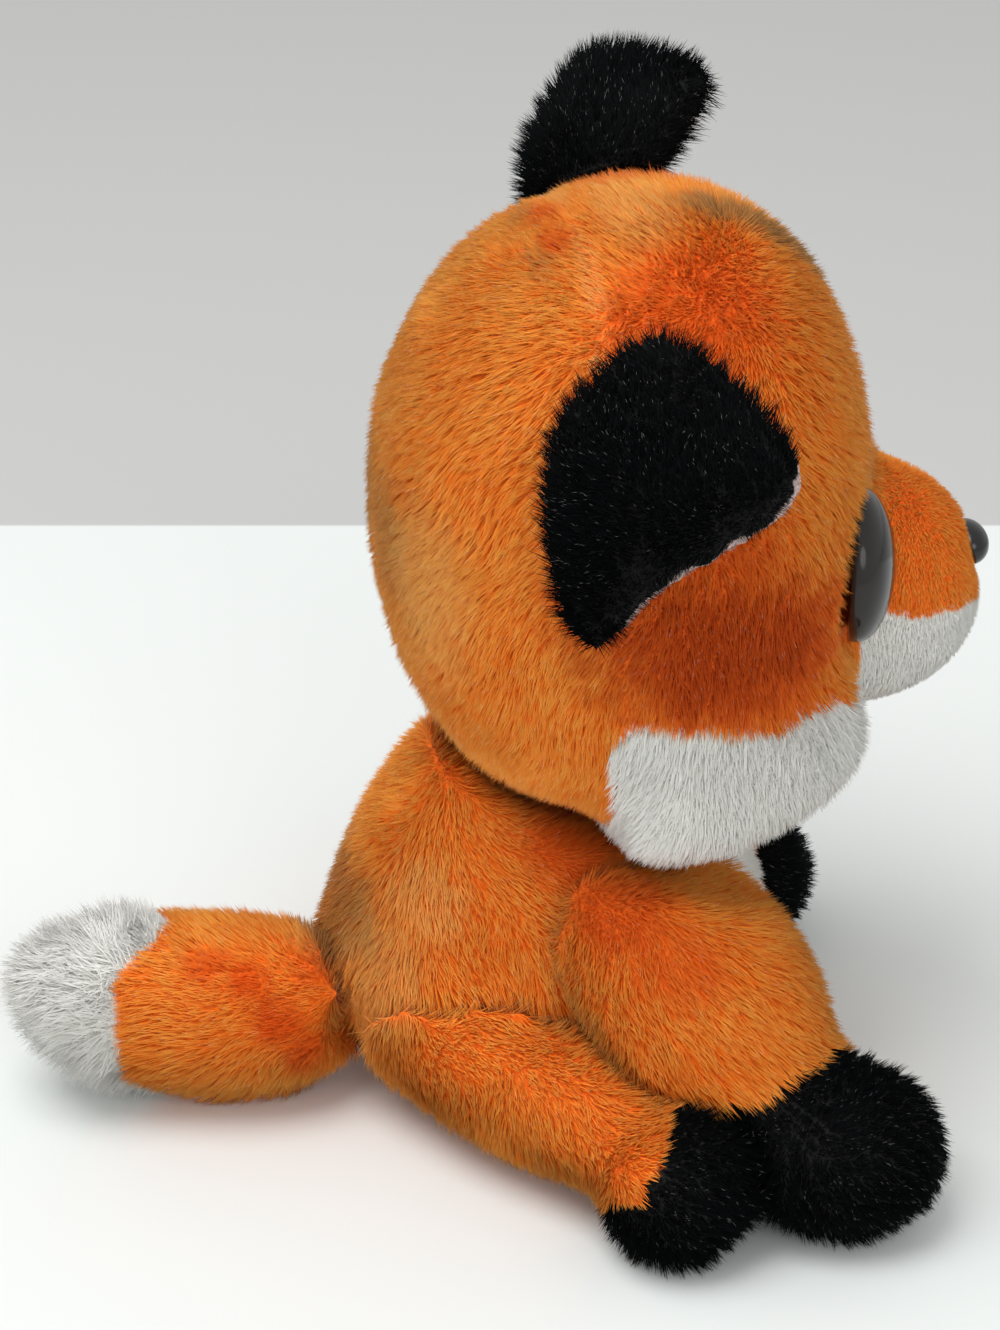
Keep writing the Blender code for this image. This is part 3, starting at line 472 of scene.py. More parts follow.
def pile_tree():
    """Geometry nodes that plant strands over a cloth and lay them along its nap."""
    tree = bpy.data.node_groups.new("Plush pile", "GeometryNodeTree")
    floats = [(name, "Float", default) for name, default in PILE_SIZES.items()]
    for name, kind, default in (("Cloth", "Geometry", None), *floats, ("Seed", "Int", 1),
                                ("Finish", "Material", None)):
        socket = tree.interface.new_socket(name=name, in_out="INPUT", socket_type="NodeSocket" + kind)
        if default is not None:
            socket.default_value = default
    tree.interface.new_socket(name="Pile", in_out="OUTPUT", socket_type="NodeSocketGeometry")
    w = Wiring(tree)
    given = w.add("NodeGroupInput").outputs

    plant = w.add("GeometryNodeDistributePointsOnFaces", {
        "Mesh": given["Cloth"], "Density": given["Strands per area"], "Seed": given["Seed"]},
        distribute_method="RANDOM")
    outside = w.add("FunctionNodeCompare", {0: w.kept("zone"), 1: 0.0}, data_type="FLOAT", operation="LESS_THAN")
    trim = w.add("GeometryNodeDeleteGeometry", {
        "Geometry": plant.outputs["Points"], "Selection": outside.outputs[0]}, domain="POINT")

    # a strand rises from the backing, lies along the nap and leans to its clump, with the waves and by chance
    place = w.add("GeometryNodeInputPosition").outputs[0]
    out = plant.outputs["Normal"]
    nap = w.kept("nap", "FLOAT_VECTOR")
    cells = w.add("ShaderNodeTexVoronoi", {
        "Vector": place, "Scale": w.maths("DIVIDE", 1.0, given["Clump size"])}, voronoi_dimensions="3D", feature="F1")
    to_clump = w.vector("SCALE", w.vector("SUBTRACT", cells.outputs["Position"], place),
                        scale=w.maths("DIVIDE", given["Clump pull"], given["Clump size"]))
    waves = w.noise(place, w.maths("DIVIDE", 1.0, given["Wave size"]), output="Color")
    wave = w.vector("SCALE", w.vector("SUBTRACT", waves, (0.5, 0.5, 0.5)),
                    scale=w.maths("MULTIPLY", given["Waviness"], WAVE_PUSH))
    stray = w.add("FunctionNodeRandomValue", {0: (-1.0, -1.0, -1.0), 1: (1.0, 1.0, 1.0), "Seed": 11},
                  data_type="FLOAT_VECTOR").outputs[0]
    sideways = w.vector("ADD", w.vector("ADD", to_clump, wave), w.vector("SCALE", stray, scale=given["Scatter"]))
    sideways = w.vector("SUBTRACT", sideways, w.vector("SCALE", out, scale=w.vector("DOT_PRODUCT", sideways, out)))
    lean = w.vector("ADD", w.vector("SCALE", out, scale=given["Rise"]), w.vector("SCALE", nap, scale=given["Lie"]))
    lean = w.parts(w.vector("NORMALIZE", w.vector("ADD", lean, sideways)))

    # strands differ in length, and those near the table bend along it
    luck = w.add("FunctionNodeRandomValue", {"Seed": 5}, data_type="FLOAT").outputs[1]
    share = w.maths("SUBTRACT", 1.0, w.maths("MULTIPLY", luck, given["Unevenness"]))
    long = w.maths("MULTIPLY", given["Strand length"], w.maths("MULTIPLY", share, w.kept("pile")))
    room = w.maths("SUBTRACT", given["Table"], w.parts(place)[2])
    lowest = w.maths("MINIMUM", w.maths("DIVIDE", room, w.maths("MAXIMUM", long, 0.1 * MM)), LEAST_CLIMB)
    over = w.joined(lean[0], lean[1], w.maths("MAXIMUM", lean[2], lowest))
    stand = w.add("FunctionNodeAlignRotationToVector", {"Vector": over}, axis="Z")
    turn = w.add("FunctionNodeAlignRotationToVector", {
        "Rotation": stand.outputs[0],
        "Vector": w.vector("SUBTRACT", nap, w.vector("SCALE", out, scale=TURNED_BACK))}, axis="X", pivot_axis="Z")

    # one strand is a thin cone on a triangle, of length 1 before it is scaled
    base = w.maths("DIVIDE", w.maths("MULTIPLY", given["Strand width"], TO_CORNER), given["Strand length"])
    strand = w.add("GeometryNodeMeshCone", {
        "Vertices": 3, "Side Segments": 1, "Fill Segments": 1, "Radius Top": 0.0, "Radius Bottom": base,
        "Depth": 1.0}, fill_type="NGON")
    marked = w.add("GeometryNodeStoreNamedAttribute", {
        "Geometry": strand.outputs["Mesh"], "Name": "tip",
        "Value": w.parts(w.add("GeometryNodeInputPosition").outputs[0])[2]}, data_type="FLOAT", domain="POINT")
    geometry = w.add("GeometryNodeInstanceOnPoints", {
        "Points": trim.outputs[0], "Instance": marked.outputs[0], "Rotation": turn.outputs[0],
        "Scale": long}).outputs[0]
    tone = w.add("FunctionNodeRandomValue", {"Seed": 23}, data_type="FLOAT").outputs[1]
    for name, kind, value in (("tint", "FLOAT", tone), ("backing", "FLOAT_VECTOR", out)):
        geometry = w.add("GeometryNodeStoreNamedAttribute", {"Geometry": geometry, "Name": name, "Value": value},
                         data_type=kind, domain="INSTANCE").outputs[0]
    real = w.add("GeometryNodeRealizeInstances", {0: geometry}).outputs[0]
    finish = w.add("GeometryNodeSetMaterial", {"Geometry": real, "Material": given["Finish"]}).outputs[0]
    w.add("NodeGroupOutput", {0: finish})
    return tree


def bake_cells(mesh):
    """A map that gives each strand a small cell of its own, each face a column in it."""
    strands = len(mesh.polygons) // STRAND_FACES
    tips = read(mesh.attributes["tip"].data, "value")
    corner = read(mesh.loops, "vertex_index", kind=np.int32)
    margin, gap = 0.04, 0.05
    pattern = []
    for face in range(STRAND_FACES):
        heights = tips[corner[3 * face:3 * face + 3]]
        shape = [(gap, gap), (1.0 - gap, gap), (0.5, 1.0 - gap)]
        if heights.max() > WELD:
            end = int(heights.argmax())
            shape[end], shape[(end + 1) % 3], shape[(end + 2) % 3] = (0.5, 1.0), (gap, 0.0), (1.0 - gap, 0.0)
        pattern += [((face + margin + (1.0 - 2.0 * margin) * u) / STRAND_FACES, margin + (1.0 - 2.0 * margin) * v)
                    for u, v in shape]
    cells = math.ceil(math.sqrt(strands))
    order = np.arange(strands)
    corner_of = np.stack([order % cells, order // cells], axis=1) / cells
    uv = corner_of[:, None, :] + (margin + (1.0 - 2.0 * margin) * np.array(pattern)[None, :, :]) / cells
    mesh.uv_layers.new(name=BAKE_MAP).data.foreach_set("uv", uv.ravel().astype(np.float32))


def plant_pile(name, cloth, tree, finish, zone, pile, seed, softness, sizes):
    """Pile over one zone of a cloth, as a plain mesh; softness is how far it is lit as the cloth under it."""
    store(cloth.data, "zone", zone)
    store(cloth.data, "pile", pile)
    obj = new_piece(name, cloth.data.copy())
    grown = obj.modifiers.new("Pile", "NODES")
    grown.node_group = tree
    sockets = {i.name: i.identifier for i in tree.interface.items_tree if i.in_out == "INPUT"}
    sizes = {**PILE_SIZES, **sizes}
    for key, value in sizes.items():
        grown[sockets[key]] = float(value)
    grown[sockets["Seed"]] = seed
    grown[sockets["Finish"]] = finish
    applied(obj)
    mesh = obj.data
    places = coords(mesh)
    if places[:, 2].min() < sizes["Table"]:
        places[:, 2] = np.maximum(places[:, 2], LOWEST_PILE)
        set_coords(mesh, places)
    shown = softness * read(mesh.attributes["backing"].data, "vector", 3) + (1.0 - softness) * normals(mesh)
    shown /= np.maximum(np.linalg.norm(shown, axis=1), WELD)[:, None]
    for spare in ("backing", "zone", "pile", "nap", "coat"):
        if spare in mesh.attributes:
            mesh.attributes.remove(mesh.attributes[spare])
    bake_cells(mesh)
    mesh.polygons.foreach_set("use_smooth", [True] * len(mesh.polygons))
    mesh.normals_split_custom_set_from_vertices(shown.astype(np.float32))
    return obj


# ---------------------------------------------------------------- finishes

# how fine each pattern is, in waves for each metre
BLOTCHES, STREAKS, RAGS, THREADS, DUST, GRAIN = 70.0, 420.0, 260.0, 1500.0, 900.0, 700.0


def shader_group(name, inputs, outputs):
    """An empty shader group with named sockets."""
    tree = bpy.data.node_groups.new(name, "ShaderNodeTree")
    for label, kind, default in inputs:
        tree.interface.new_socket(
            name=label, in_out="INPUT", socket_type="NodeSocket" + kind).default_value = default
    for label, kind in outputs:
        tree.interface.new_socket(name=label, in_out="OUTPUT", socket_type="NodeSocket" + kind)
    w = Wiring(tree)
    return tree, w, w.add("NodeGroupInput").outputs, w.add("NodeGroupOutput").inputs


def pile_tone_group():
    """Colour of dyed pile: deep at the roots, paler at the ends, uneven from clump to clump."""
    tree, w, given, out = shader_group("Pile tone", [
        ("Place", "Vector", (0.0, 0.0, 0.0)), ("Root", "Color", (0.5, 0.1, 0.0, 1.0)),
        ("Tip", "Color", (0.8, 0.3, 0.1, 1.0)), ("Height", "Float", 0.5), ("Chance", "Float", 0.5),
        ("Blotch", "Float", 0.4), ("Variation", "Float", 0.3)], [("Colour", "Color")])
    blotch = w.noise(given["Place"], BLOTCHES, 3.0)
    streak = w.noise(given["Place"], STREAKS, 1.0)
    drift = w.maths("MULTIPLY", w.maths("SUBTRACT", blotch, 0.5), given["Blotch"])
    fine = w.maths("MULTIPLY", w.maths("SUBTRACT", streak, 0.5), w.maths("MULTIPLY", given["Blotch"], 1.2))
    height = w.maths("ADD", w.maths("POWER", given["Height"], 1.3), w.maths("ADD", drift, fine))
    tone = w.blend(w.ramp(height, 0.0, 1.0, kind="LINEAR"), given["Root"], given["Tip"])
    bright = w.maths("ADD", 1.0, w.maths("MULTIPLY", w.maths("SUBTRACT", given["Chance"], 0.5), given["Variation"]))
    w.feed(out["Colour"], w.vector("SCALE", tone, scale=bright))
    return tree


def mark_group():
    """Mask of one mark with a ragged, fading edge, whether airbrushed dye, painted shade or painted highlight."""
    tree, w, given, out = shader_group("Airbrushed mark", [
        ("Place", "Vector", (0.0, 0.0, 0.0)), ("Centre", "Vector", (0.0, 0.0, 0.0)),
        ("Reach", "Vector", (0.01, 0.01, 0.01)), ("Strength", "Float", 0.8)], [("Mask", "Float")])
    rough = w.maths("MULTIPLY", w.maths("SUBTRACT", w.noise(given["Place"], RAGS), 0.5), 0.9)
    apart = w.vector("DIVIDE", w.vector("SUBTRACT", given["Place"], given["Centre"]), given["Reach"])
    far = w.maths("ADD", w.vector("LENGTH", apart), rough)
    w.feed(out["Mask"], w.maths("MULTIPLY", w.ramp(far, 1.1, 0.35), given["Strength"]))
    return tree


# centre, reach and strength of each mark on the coat, in millimetres, the same on both sides; most are airbrushed
# dye, and some are painted shade and painted highlight
# painted shade: a darker copy of the red laid low on the face, where shade falls
PAINTED_SHADE_MARKS = (
    ((45, -26, 89), (18, 24, 14), 1.0),
)
RED_MARKS = (
    ((46, -20, 100), (16, 24, 18), 0.7), ((44, -34, 86), (18, 26, 17), 0.9), ((27, -25, 134), (21, 17, 12), 0.75),
    ((6, -9, 139), (7, 3.5, 7), 0.7), ((24, -8, 48), (12, 11, 9), 0.8), ((38, -13, 45), (13, 11, 10), 0.8),
    ((45, -20, 39), (9, 10, 9), 0.6), ((13.5, 47, 28), (4, 6, 4.5), 0.75), ((17, 41, 25.5), (5, 5, 5), 0.95),
    ((19.5, 37, 19.5), (5, 5, 6), 0.95), ((20, 33.5, 13), (5, 4.5, 6), 0.8), ((14, 31, 25), (5, 5, 6), 0.5),
)
BROWN_MARKS = (
    ((0, -40, 133), (8, 21, 20), 0.85), ((12, -5.5, 136.5), (8, 3.5, 2.5), 0.45), ((10, 18, 95), (12, 8, 12), 0.45),
    ((3, 12, 61), (11, 9, 7), 0.6), ((6, 26, 30), (13, 11, 10), 0.6),
)
# the first is paler pile along the head's seam; the rest, on the top and back of the head and on the back, are partly
# mottled tone and partly painted highlight where light catches the pile
PALE_AND_HIGHLIGHT_MARKS = (
    ((17, -12.2, 135), (18, 2.2, 12), 0.32), ((31, -10.5, 129), (2.5, 2.0, 3.0), 0.7),
    ((22, 12, 92), (14, 14, 18), 0.35), ((16, 20, 24), (14, 10, 14), 0.35), ((20, 15, 38), (12, 10, 9), 0.35),
    ((4, -21, 142), (14, 9, 6), 0.35),
)


# strands of more than this chance carry a painted highlight, a paler base colour that stands in for sparkle of light,
# and are glossier, from so far up towards their ends
GLINT_CHANCE, GLINT_HEIGHT = (0.950, 0.955), (0.72, 0.88)
PAINTED_GLINT_COLOUR = (0.9, 0.85, 0.8, 1.0)


def new_finish(name):
    """A new material with its wiring, its shader and the place on the object."""
    mat = bpy.data.materials.new(name)
    mat.use_nodes = True
    w = Wiring(mat.node_tree)
    return mat, w, mat.node_tree.nodes["Principled BSDF"], w.add("ShaderNodeTexCoord").outputs["Object"]


def plush_material(name, groups, root, tip, blotch=0.5, variation=0.22, layers=(), roughness=0.75,
                   sheen=0.15, sheen_colour=(1.0, 0.6, 0.28), specular=0.15, painted_glints=0.45):
    """Dyed plush pile; layers are (marks, root colour, tip colour), each airbrushed over those before, some of them
    painted shade and painted highlight; a few strands carry a painted highlight at their tips.
    """
    mat, w, shader, place = new_finish(name)
    height = w.add("ShaderNodeAttribute", attribute_name="tip").outputs["Fac"]
    chance = w.add("ShaderNodeAttribute", attribute_name="tint").outputs["Fac"]
    shown = w.group(groups["tone"], {"Place": place, "Root": (*root, 1.0), "Tip": (*tip, 1.0), "Height": height,
                                     "Chance": chance, "Blotch": blotch, "Variation": variation})
    if layers:
        side, ahead, high = w.parts(place)
        folded = w.joined(w.maths("ABSOLUTE", side), ahead, high)
    for marks, layer_root, layer_tip in layers:
        mask = 0.0
        for centre, reach, strength in marks:
            mark = w.group(groups["mark"], {"Place": folded, "Centre": [v * MM for v in centre],
                                            "Reach": [v * MM for v in reach], "Strength": strength})
            mask = w.maths("MAXIMUM", mark, mask)
        shown = w.blend(mask, shown, w.blend(height, (*layer_root, 1.0), (*layer_tip, 1.0)))
    # a few strands are painted paler towards their tips as a painted highlight, and are made glossier there
    painted_glint_and_gloss = w.maths("MULTIPLY", w.ramp(chance, *GLINT_CHANCE), w.ramp(height, *GLINT_HEIGHT))
    w.feed(shader.inputs["Base Color"], w.blend(w.maths("MULTIPLY", painted_glint_and_gloss, painted_glints), shown, PAINTED_GLINT_COLOUR))
    w.feed(shader.inputs["Roughness"], w.maths("SUBTRACT", roughness, w.maths("MULTIPLY", painted_glint_and_gloss, 0.4)))
    shader.inputs["Sheen Weight"].default_value = sheen
    shader.inputs["Sheen Roughness"].default_value = 0.3
    shader.inputs["Sheen Tint"].default_value = (*sheen_colour, 1.0)
    shader.inputs["Specular IOR Level"].default_value = specular
    return mat


def backing_material(name):
    """Cloth under the pile, dyed as the pile's roots are."""
    mat, w, shader, place = new_finish(name)
    dye = w.add("ShaderNodeAttribute", attribute_name="coat").outputs["Color"]
    thread = w.noise(place, THREADS)
    w.feed(shader.inputs["Base Color"], w.vector("SCALE", dye, scale=w.ramp(thread, 0.3, 0.7, 0.75, 1.15)))
    w.feed(shader.inputs["Roughness"], w.ramp(thread, 0.3, 0.7, 0.85, 0.98))
    bump = w.add("ShaderNodeBump", {"Height": thread, "Distance": 0.4 * MM})
    w.feed(shader.inputs["Normal"], bump.outputs[0])
    return mat


def eye_material(name, centre, out, radius, dark):
    """Dark glossy plastic, clearer and paler towards the rim of the dome."""
    mat, w, shader, place = new_finish(name)
    apart = w.vector("SUBTRACT", place, centre)
    off = w.vector("SUBTRACT", apart, w.vector("SCALE", out, scale=w.vector("DOT_PRODUCT", apart, out)))
    reach = w.maths("DIVIDE", w.vector("LENGTH", off), radius)
    rim = w.ramp(reach, 0.80, 0.93)
    w.feed(shader.inputs["Base Color"], w.blend(rim, (*dark, 1.0), (0.022, 0.020, 0.018, 1.0)))
    w.feed(shader.inputs["Roughness"], w.ramp(w.noise(place, DUST), 0.35, 0.75, 0.10, 0.22))
    shader.inputs["Coat Roughness"].default_value = 0.05
    w.feed(shader.inputs["Coat Weight"], w.ramp(reach, 0.7, 1.0, 0.15, 0.05))
    shader.inputs["Specular IOR Level"].default_value = 0.3
    return mat


def plastic_material(name, shade, roughness, patches=0.1):
    """Moulded plastic with a slightly uneven gloss."""
    mat, w, shader, place = new_finish(name)
    grain = w.noise(place, GRAIN)
    w.feed(shader.inputs["Base Color"], w.blend(grain, (*shade, 1.0), (*[v * 1.25 for v in shade], 1.0)))
    w.feed(shader.inputs["Roughness"], w.ramp(grain, 0.3, 0.7, roughness, roughness + patches))
    return mat


KIT = {}


def kit():
    """Trees and finishes, built once and shared by all pieces."""
    if not KIT:
        c = bpy.context.scene.fox_colours
        groups = {"tone": pile_tone_group(), "mark": mark_group()}
        # the red at 0.62 of its strength, painted as shade low on the face
        deep = [0.62 * v for v in c.red_root], [0.62 * v for v in c.red_tip]
        dyes_and_painted_light = ((RED_MARKS, c.red_root, c.red_tip), (PAINTED_SHADE_MARKS, *deep),
                (BROWN_MARKS, [v * 0.6 for v in c.brown], c.brown), (PALE_AND_HIGHLIGHT_MARKS, c.pale, c.pale))
        KIT.update(
            tree=pile_tree(),
            backing=backing_material("plush_backing"),
            gold=plush_material("golden_plush", groups, c.gold_root, c.gold_tip, blotch=0.8, layers=dyes_and_painted_light),
            red=plush_material("orange_plush", groups, c.orange_root, c.orange_tip, blotch=0.6, layers=dyes_and_painted_light),
            white=plush_material("white_plush", groups, c.white_root, c.white_tip, blotch=0.3, variation=0.04,
                                 sheen=1.0, sheen_colour=(1.0, 0.98, 0.92), specular=0.3),
            black=plush_material("black_plush", groups, c.black_root, c.black_tip, blotch=0.4, variation=0.6,
                                 roughness=0.6, sheen=0.008, sheen_colour=(0.6, 0.85, 0.8), specular=0.05,
                                 painted_glints=0.34),
            lining=plush_material("lining_plush", groups, [v * 0.75 for v in c.lining], c.lining, blotch=0.3,
                                  variation=0.15, sheen_colour=(1.0, 0.9, 0.88)),
            washer=plastic_material("washer_plastic", (0.55, 0.55, 0.53), 0.4),
            nose=plastic_material("nose_plastic", (0.006, 0.006, 0.006), 0.16, 0.08),
            dye={"gold": c.gold_root, "red": c.orange_root, "white": c.white_root, "black": c.black_root,
                 "lining": c.lining})
    return KIT


# pile is lit as the cloth under it by this share, and white pile by the second
SOFTNESS, WHITE_SOFTNESS = 0.75, 0.95
# borders between piles are ragged by this share of the cloth's grain
RAGGED = 0.45
# pile has its full length this far from another piece, from what covers it, and from the border of its zone
CLEAR_OF_PIECE, CLEAR_OF_COVER, CLEAR_OF_BORDER = (0.8 * MM, 4.0 * MM), (0.0, 3.5 * MM), (0.0, 2.2 * MM)
# cloth that is lower than this and faces the table carries no pile
SEAT_HEIGHT, SEAT_FACING = 1.0 * MM, -0.8
# length of pile at the border of its zone, where a zone says nothing else
GROOVE = 0.55
# where it touches another piece, pile is longer by this, so that no gap shows
SNUG = 1.3


def coat(name, body, zones, flow, beside=(), bare=None, grain=None, depth=None, replaced=(), fill=None, seed=1,
         swelling=None, rounds=3, hem=1.0, close=()):
    """A stuffed skin with its zones of pile, all riding on one body.

    zones is {piece: (nodes, finish, slot, sizes)}; beside the names that PILE_SIZES has, sizes may hold groove (share
    of the length at the border), spread (how far the zone reaches past its nodes) and halves (whether its pile is
    two pieces, one for each side). beside names the CAD nodes of other bodies that touch it, where the backing lies
    higher and the pile is a little longer. hem is its share at the edge of what bare leaves out, and close names
    nodes over which the backing lies high, under short pile.
    """
    s = bpy.context.scene
    cloth = s.fox_cloth
    depth = cloth.backing_depth if depth is None else depth
    grain = cloth.grain if grain is None else grain
    swelling = cloth.swelling if swelling is None else swelling
    every = [n for nodes, *_ in zones.values() for n in nodes] + list(replaced)
    skin = sewn(name, every, grain, depth, swelling, rounds, [*beside, *close])
    mesh = skin.data
    spreads = {piece: sizes["spread"] for piece, (*_, sizes) in zones.items() if sizes.get("spread")}
    leads = part_zones(skin, {piece: nodes for piece, (nodes, *_) in zones.items()}, spreads, depth, RAGGED * grain)
    dye = np.zeros((len(mesh.vertices), 3))
    best = np.full(len(dye), -1.0)
    for piece, (nodes, dyed, *_) in zones.items():
        ahead = leads[piece] > best
        dye[ahead] = KIT["dye"][dyed]
        best[ahead] = leads[piece][ahead]
    crowded = np.ones(len(dye))
    if beside:
        free = np.abs(gaps_to(surface_of(*beside), coords(mesh)))
        crowded *= SNUG + (1.0 - SNUG) * smooth_share(relaxed(free, edge_ends(mesh), DEPTH_ROUNDS),
                                                       *CLEAR_OF_PIECE)
    store(mesh, "coat", dye)
    paint(skin, KIT["backing"])
    lay_nap(mesh, flow)
    mask = np.full(len(dye), 1.0) if bare is None else bare(mesh, depth)
    crowded *= hem + (1.0 - hem) * smooth_share(mask, *CLEAR_OF_COVER)
    under = (coords(mesh)[:, 2] < SEAT_HEIGHT) & (normals(mesh)[:, 2] < SEAT_FACING)
    for k, (piece, (nodes, dyed, slot, sizes)) in enumerate(zones.items()):
        groove = sizes.get("groove", GROOVE)
        pile = crowded * (groove + (1.0 - groove) * smooth_share(leads[piece], *CLEAR_OF_BORDER))
        zone = np.minimum(leads[piece], mask)
        zone[under] = -1.0
        parts = [(piece, zone)]
        if sizes.get("halves"):
            side = coords(mesh)[:, 0]
            parts = [(piece + "_a", np.minimum(zone, side)), (piece + "_b", np.minimum(zone, -side))]
        sizes = {"Strands per area": cloth.density * 1.0e6, "Strand width": s.fox_pile.strand,
                 **{key: value for key, value in sizes.items() if key in PILE_SIZES}}
        for label, where in parts:
            hair = plant_pile(label, skin, KIT["tree"], KIT[dyed], where, pile, seed + k,
                              WHITE_SOFTNESS if dyed == "white" else SOFTNESS, sizes)
            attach(hair, body)
            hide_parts(*nodes)
    for spare in ("zone", "pile", "nap"):
        mesh.attributes.remove(mesh.attributes[spare])
    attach(skin, body)
    zones[next(iter(zones))][2]
    if replaced:
        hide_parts(*replaced)


def clear_of(*nodes, gap=0.3 * MM):
    """Keeps pile off the parts of a skin that other pieces cover."""
    def bare(mesh, depth):
        outer = coords(mesh) + normals(mesh) * depth
        return np.min([gaps_to(surface_of(n), outer) for n in nodes], axis=0) - gap
    return bare


# ---------------------------------------------------------------- operators

def by_steps(values, places, lengths):
    """Lengths given in millimetres at places along a run, and straight changes between them."""
    return MM * np.interp(values / MM, places, lengths)


def cheek_top(at):
    """How much farther white reaches up the face than the cheek's solid, or less far under the eye."""
    rise = by_steps(-at[:, 1], (15, 19, 23, 29, 35, 42, 47), (7.3, 5.5, 4.2, 2.0, -1.4, -2.0, -2.8))
    return rise * np.interp(at[:, 2] / MM, (60, 70, 75), (0.0, 0.4, 1.0))


def cuff(at):
    """How much farther black reaches on the outer side of the near arm."""
    reach = by_steps(-at[:, 1], (24, 28, 32), (5.0, 1.8, 1.3))
    return reach * smooth_share(-at[:, 0], 43.0 * MM, 48.0 * MM)


def ear_hem(at):
    """How much farther the pale lining reaches round the lower rim of the near ear."""
    ahead = -at[:, 1]
    width = by_steps(ahead, (7, 11, 14, 27, 33), (1.0, 3.7, 3.3, 3.3, 4.1))
    return width * smooth_share(0.513 * ahead - 0.858 * at[:, 2], -89.0 * MM, -86.5 * MM)


def haunch(most):
    """How much farther orange reaches over the back of a foot, at most by so many millimetres."""
    def spread(at):
        behind = smooth_share(at[:, 1], -19.0 * MM, -13.0 * MM)
        return -most * MM * smooth_share(at[:, 2], 4.0 * MM, 15.0 * MM) * behind
    return spread


def brush_edge(at):
    """How much farther the white of the tail's tip reaches on top, or less far on the near side."""
    return by_steps(at[:, 0], (-16, -14, -12.5, -10.6, -9, -6.5, -2.8, 6), (-3.4, -3.2, -1.9, 0.5, 3, 4.7, 6.5, 3))


def run_of(start, end):
    """Direction from one node's middle to another's."""
    a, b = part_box(start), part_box(end)
    return tuple(((b[0] + b[1]) / 2 - (a[0] + a[1]) / 2).normalized())


def limbs(limb, end, touched, spreads, seed):
    """Sews a pair of limbs with their black ends, beside the body and other limbs of their sides."""
    pile = bpy.context.scene.fox_pile
    for k, side in enumerate(SIDES):
        coat(f"{limb}_skin_{side}", f"{limb}_{side}", {
            f"{limb}_pile_{side}": ([f"{limb}_{side}"], "gold", "back_plush", {
                "Strand length": pile.coat, "groove": 1.0}),
            f"{end}_pile_{side}": ([f"{end}_{side}"], "black", "black_plush", {
                "Strand length": pile.paw, "Rise": 1.0, "Waviness": 0.6, "Clump pull": 0.8, "Unevenness": 0.5,
                "Strands per area": 8.0e6, "spread": spreads.get(side)}),
        }, run_of(f"{limb}_{side}", f"{end}_{side}"), ["body_skin", *[f"{other}_{side}" for other in touched]],
            seed=seed + 10 * k)


class Maker:
    """What the makers of the fox share."""

    def execute(self, context):
        kit()
        self.make(context.scene)
        return {"FINISHED"}


class FOX_OT_head(Maker, bpy.types.Operator):
    """Sews the head with its face, cheeks, snout and muzzle"""
    bl_idname = "fox.head"
    bl_label = "Head"

    def make(self, scene):
        pile = scene.fox_pile
        long = {"Strand length": pile.coat, "halves": True, "groove": 0.7}
        patch = {"Strand length": pile.patch, "Rise": 0.9, "Waviness": 0.35, "groove": 1.1, "spread": cheek_top}
        short = {"Strand length": pile.snout, "Strand width": 0.26 * MM, "Strands per area": 9.0e6, "Rise": 0.9,
                 "Clump pull": 0.25, "Waviness": 0.25, "groove": 0.8}
        coat("head_skin", "head", {
            "head_back_pile": (["head_back"], "gold", "back_plush", long),
            "head_face_pile": (["head_face"], "red", "face_plush", long),
            "cheek_right_pile": (["cheek_right"], "white", "white_plush", patch),
            "cheek_left_pile": (["cheek_left"], "white", "white_plush", patch),
            "snout_pile": (["snout"], "red", "face_plush", short),
            "muzzle_pile": (["muzzle"], "white", "white_plush", short),
        }, (0.0, 0.45, -1.0), ["body_skin", "chest_bib", "ear_back_right", "ear_back_left"],
            clear_of("eye_right", "eye_left", "nose"), replaced=["head_stuffing"], seed=10, hem=0.4,
            close=("snout", "muzzle"))


class FOX_OT_body(Maker, bpy.types.Operator):
    """Sews the body with its white bib, and the neck"""
    bl_idname = "fox.body"
    bl_label = "Body"

    def make(self, scene):
        pile = scene.fox_pile
        coat("body_skin_cloth", "body", {
            "body_pile": (["body_skin"], "gold", "back_plush", {"Strand length": pile.coat, "halves": True}),
            "bib_pile": (["chest_bib"], "white", "white_plush", {
                "Strand length": pile.patch, "spread": lambda at: np.full(len(at), 3.0 * MM)}),
        }, (0.0, -0.6, -0.8), ["head_back", "head_face", "cheek_right", "cheek_left", "arm_right", "arm_left",
                               "leg_right", "leg_left", "tail"], clear_of("head_back", "head_face", gap=0.2 * MM),
            replaced=["body_stuffing", "pellet_pouch"], seed=30)
        neck = sewn("neck_skin", ["neck_stuffing"], grain=1.6 * MM, depth=0.8 * MM, swelling=0.0)
        paint(neck, KIT["backing"])
        store(neck.data, "coat", np.broadcast_to(KIT["dye"]["gold"], (len(neck.data.vertices), 3)))
        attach(neck, "neck")
        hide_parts("neck_stuffing")


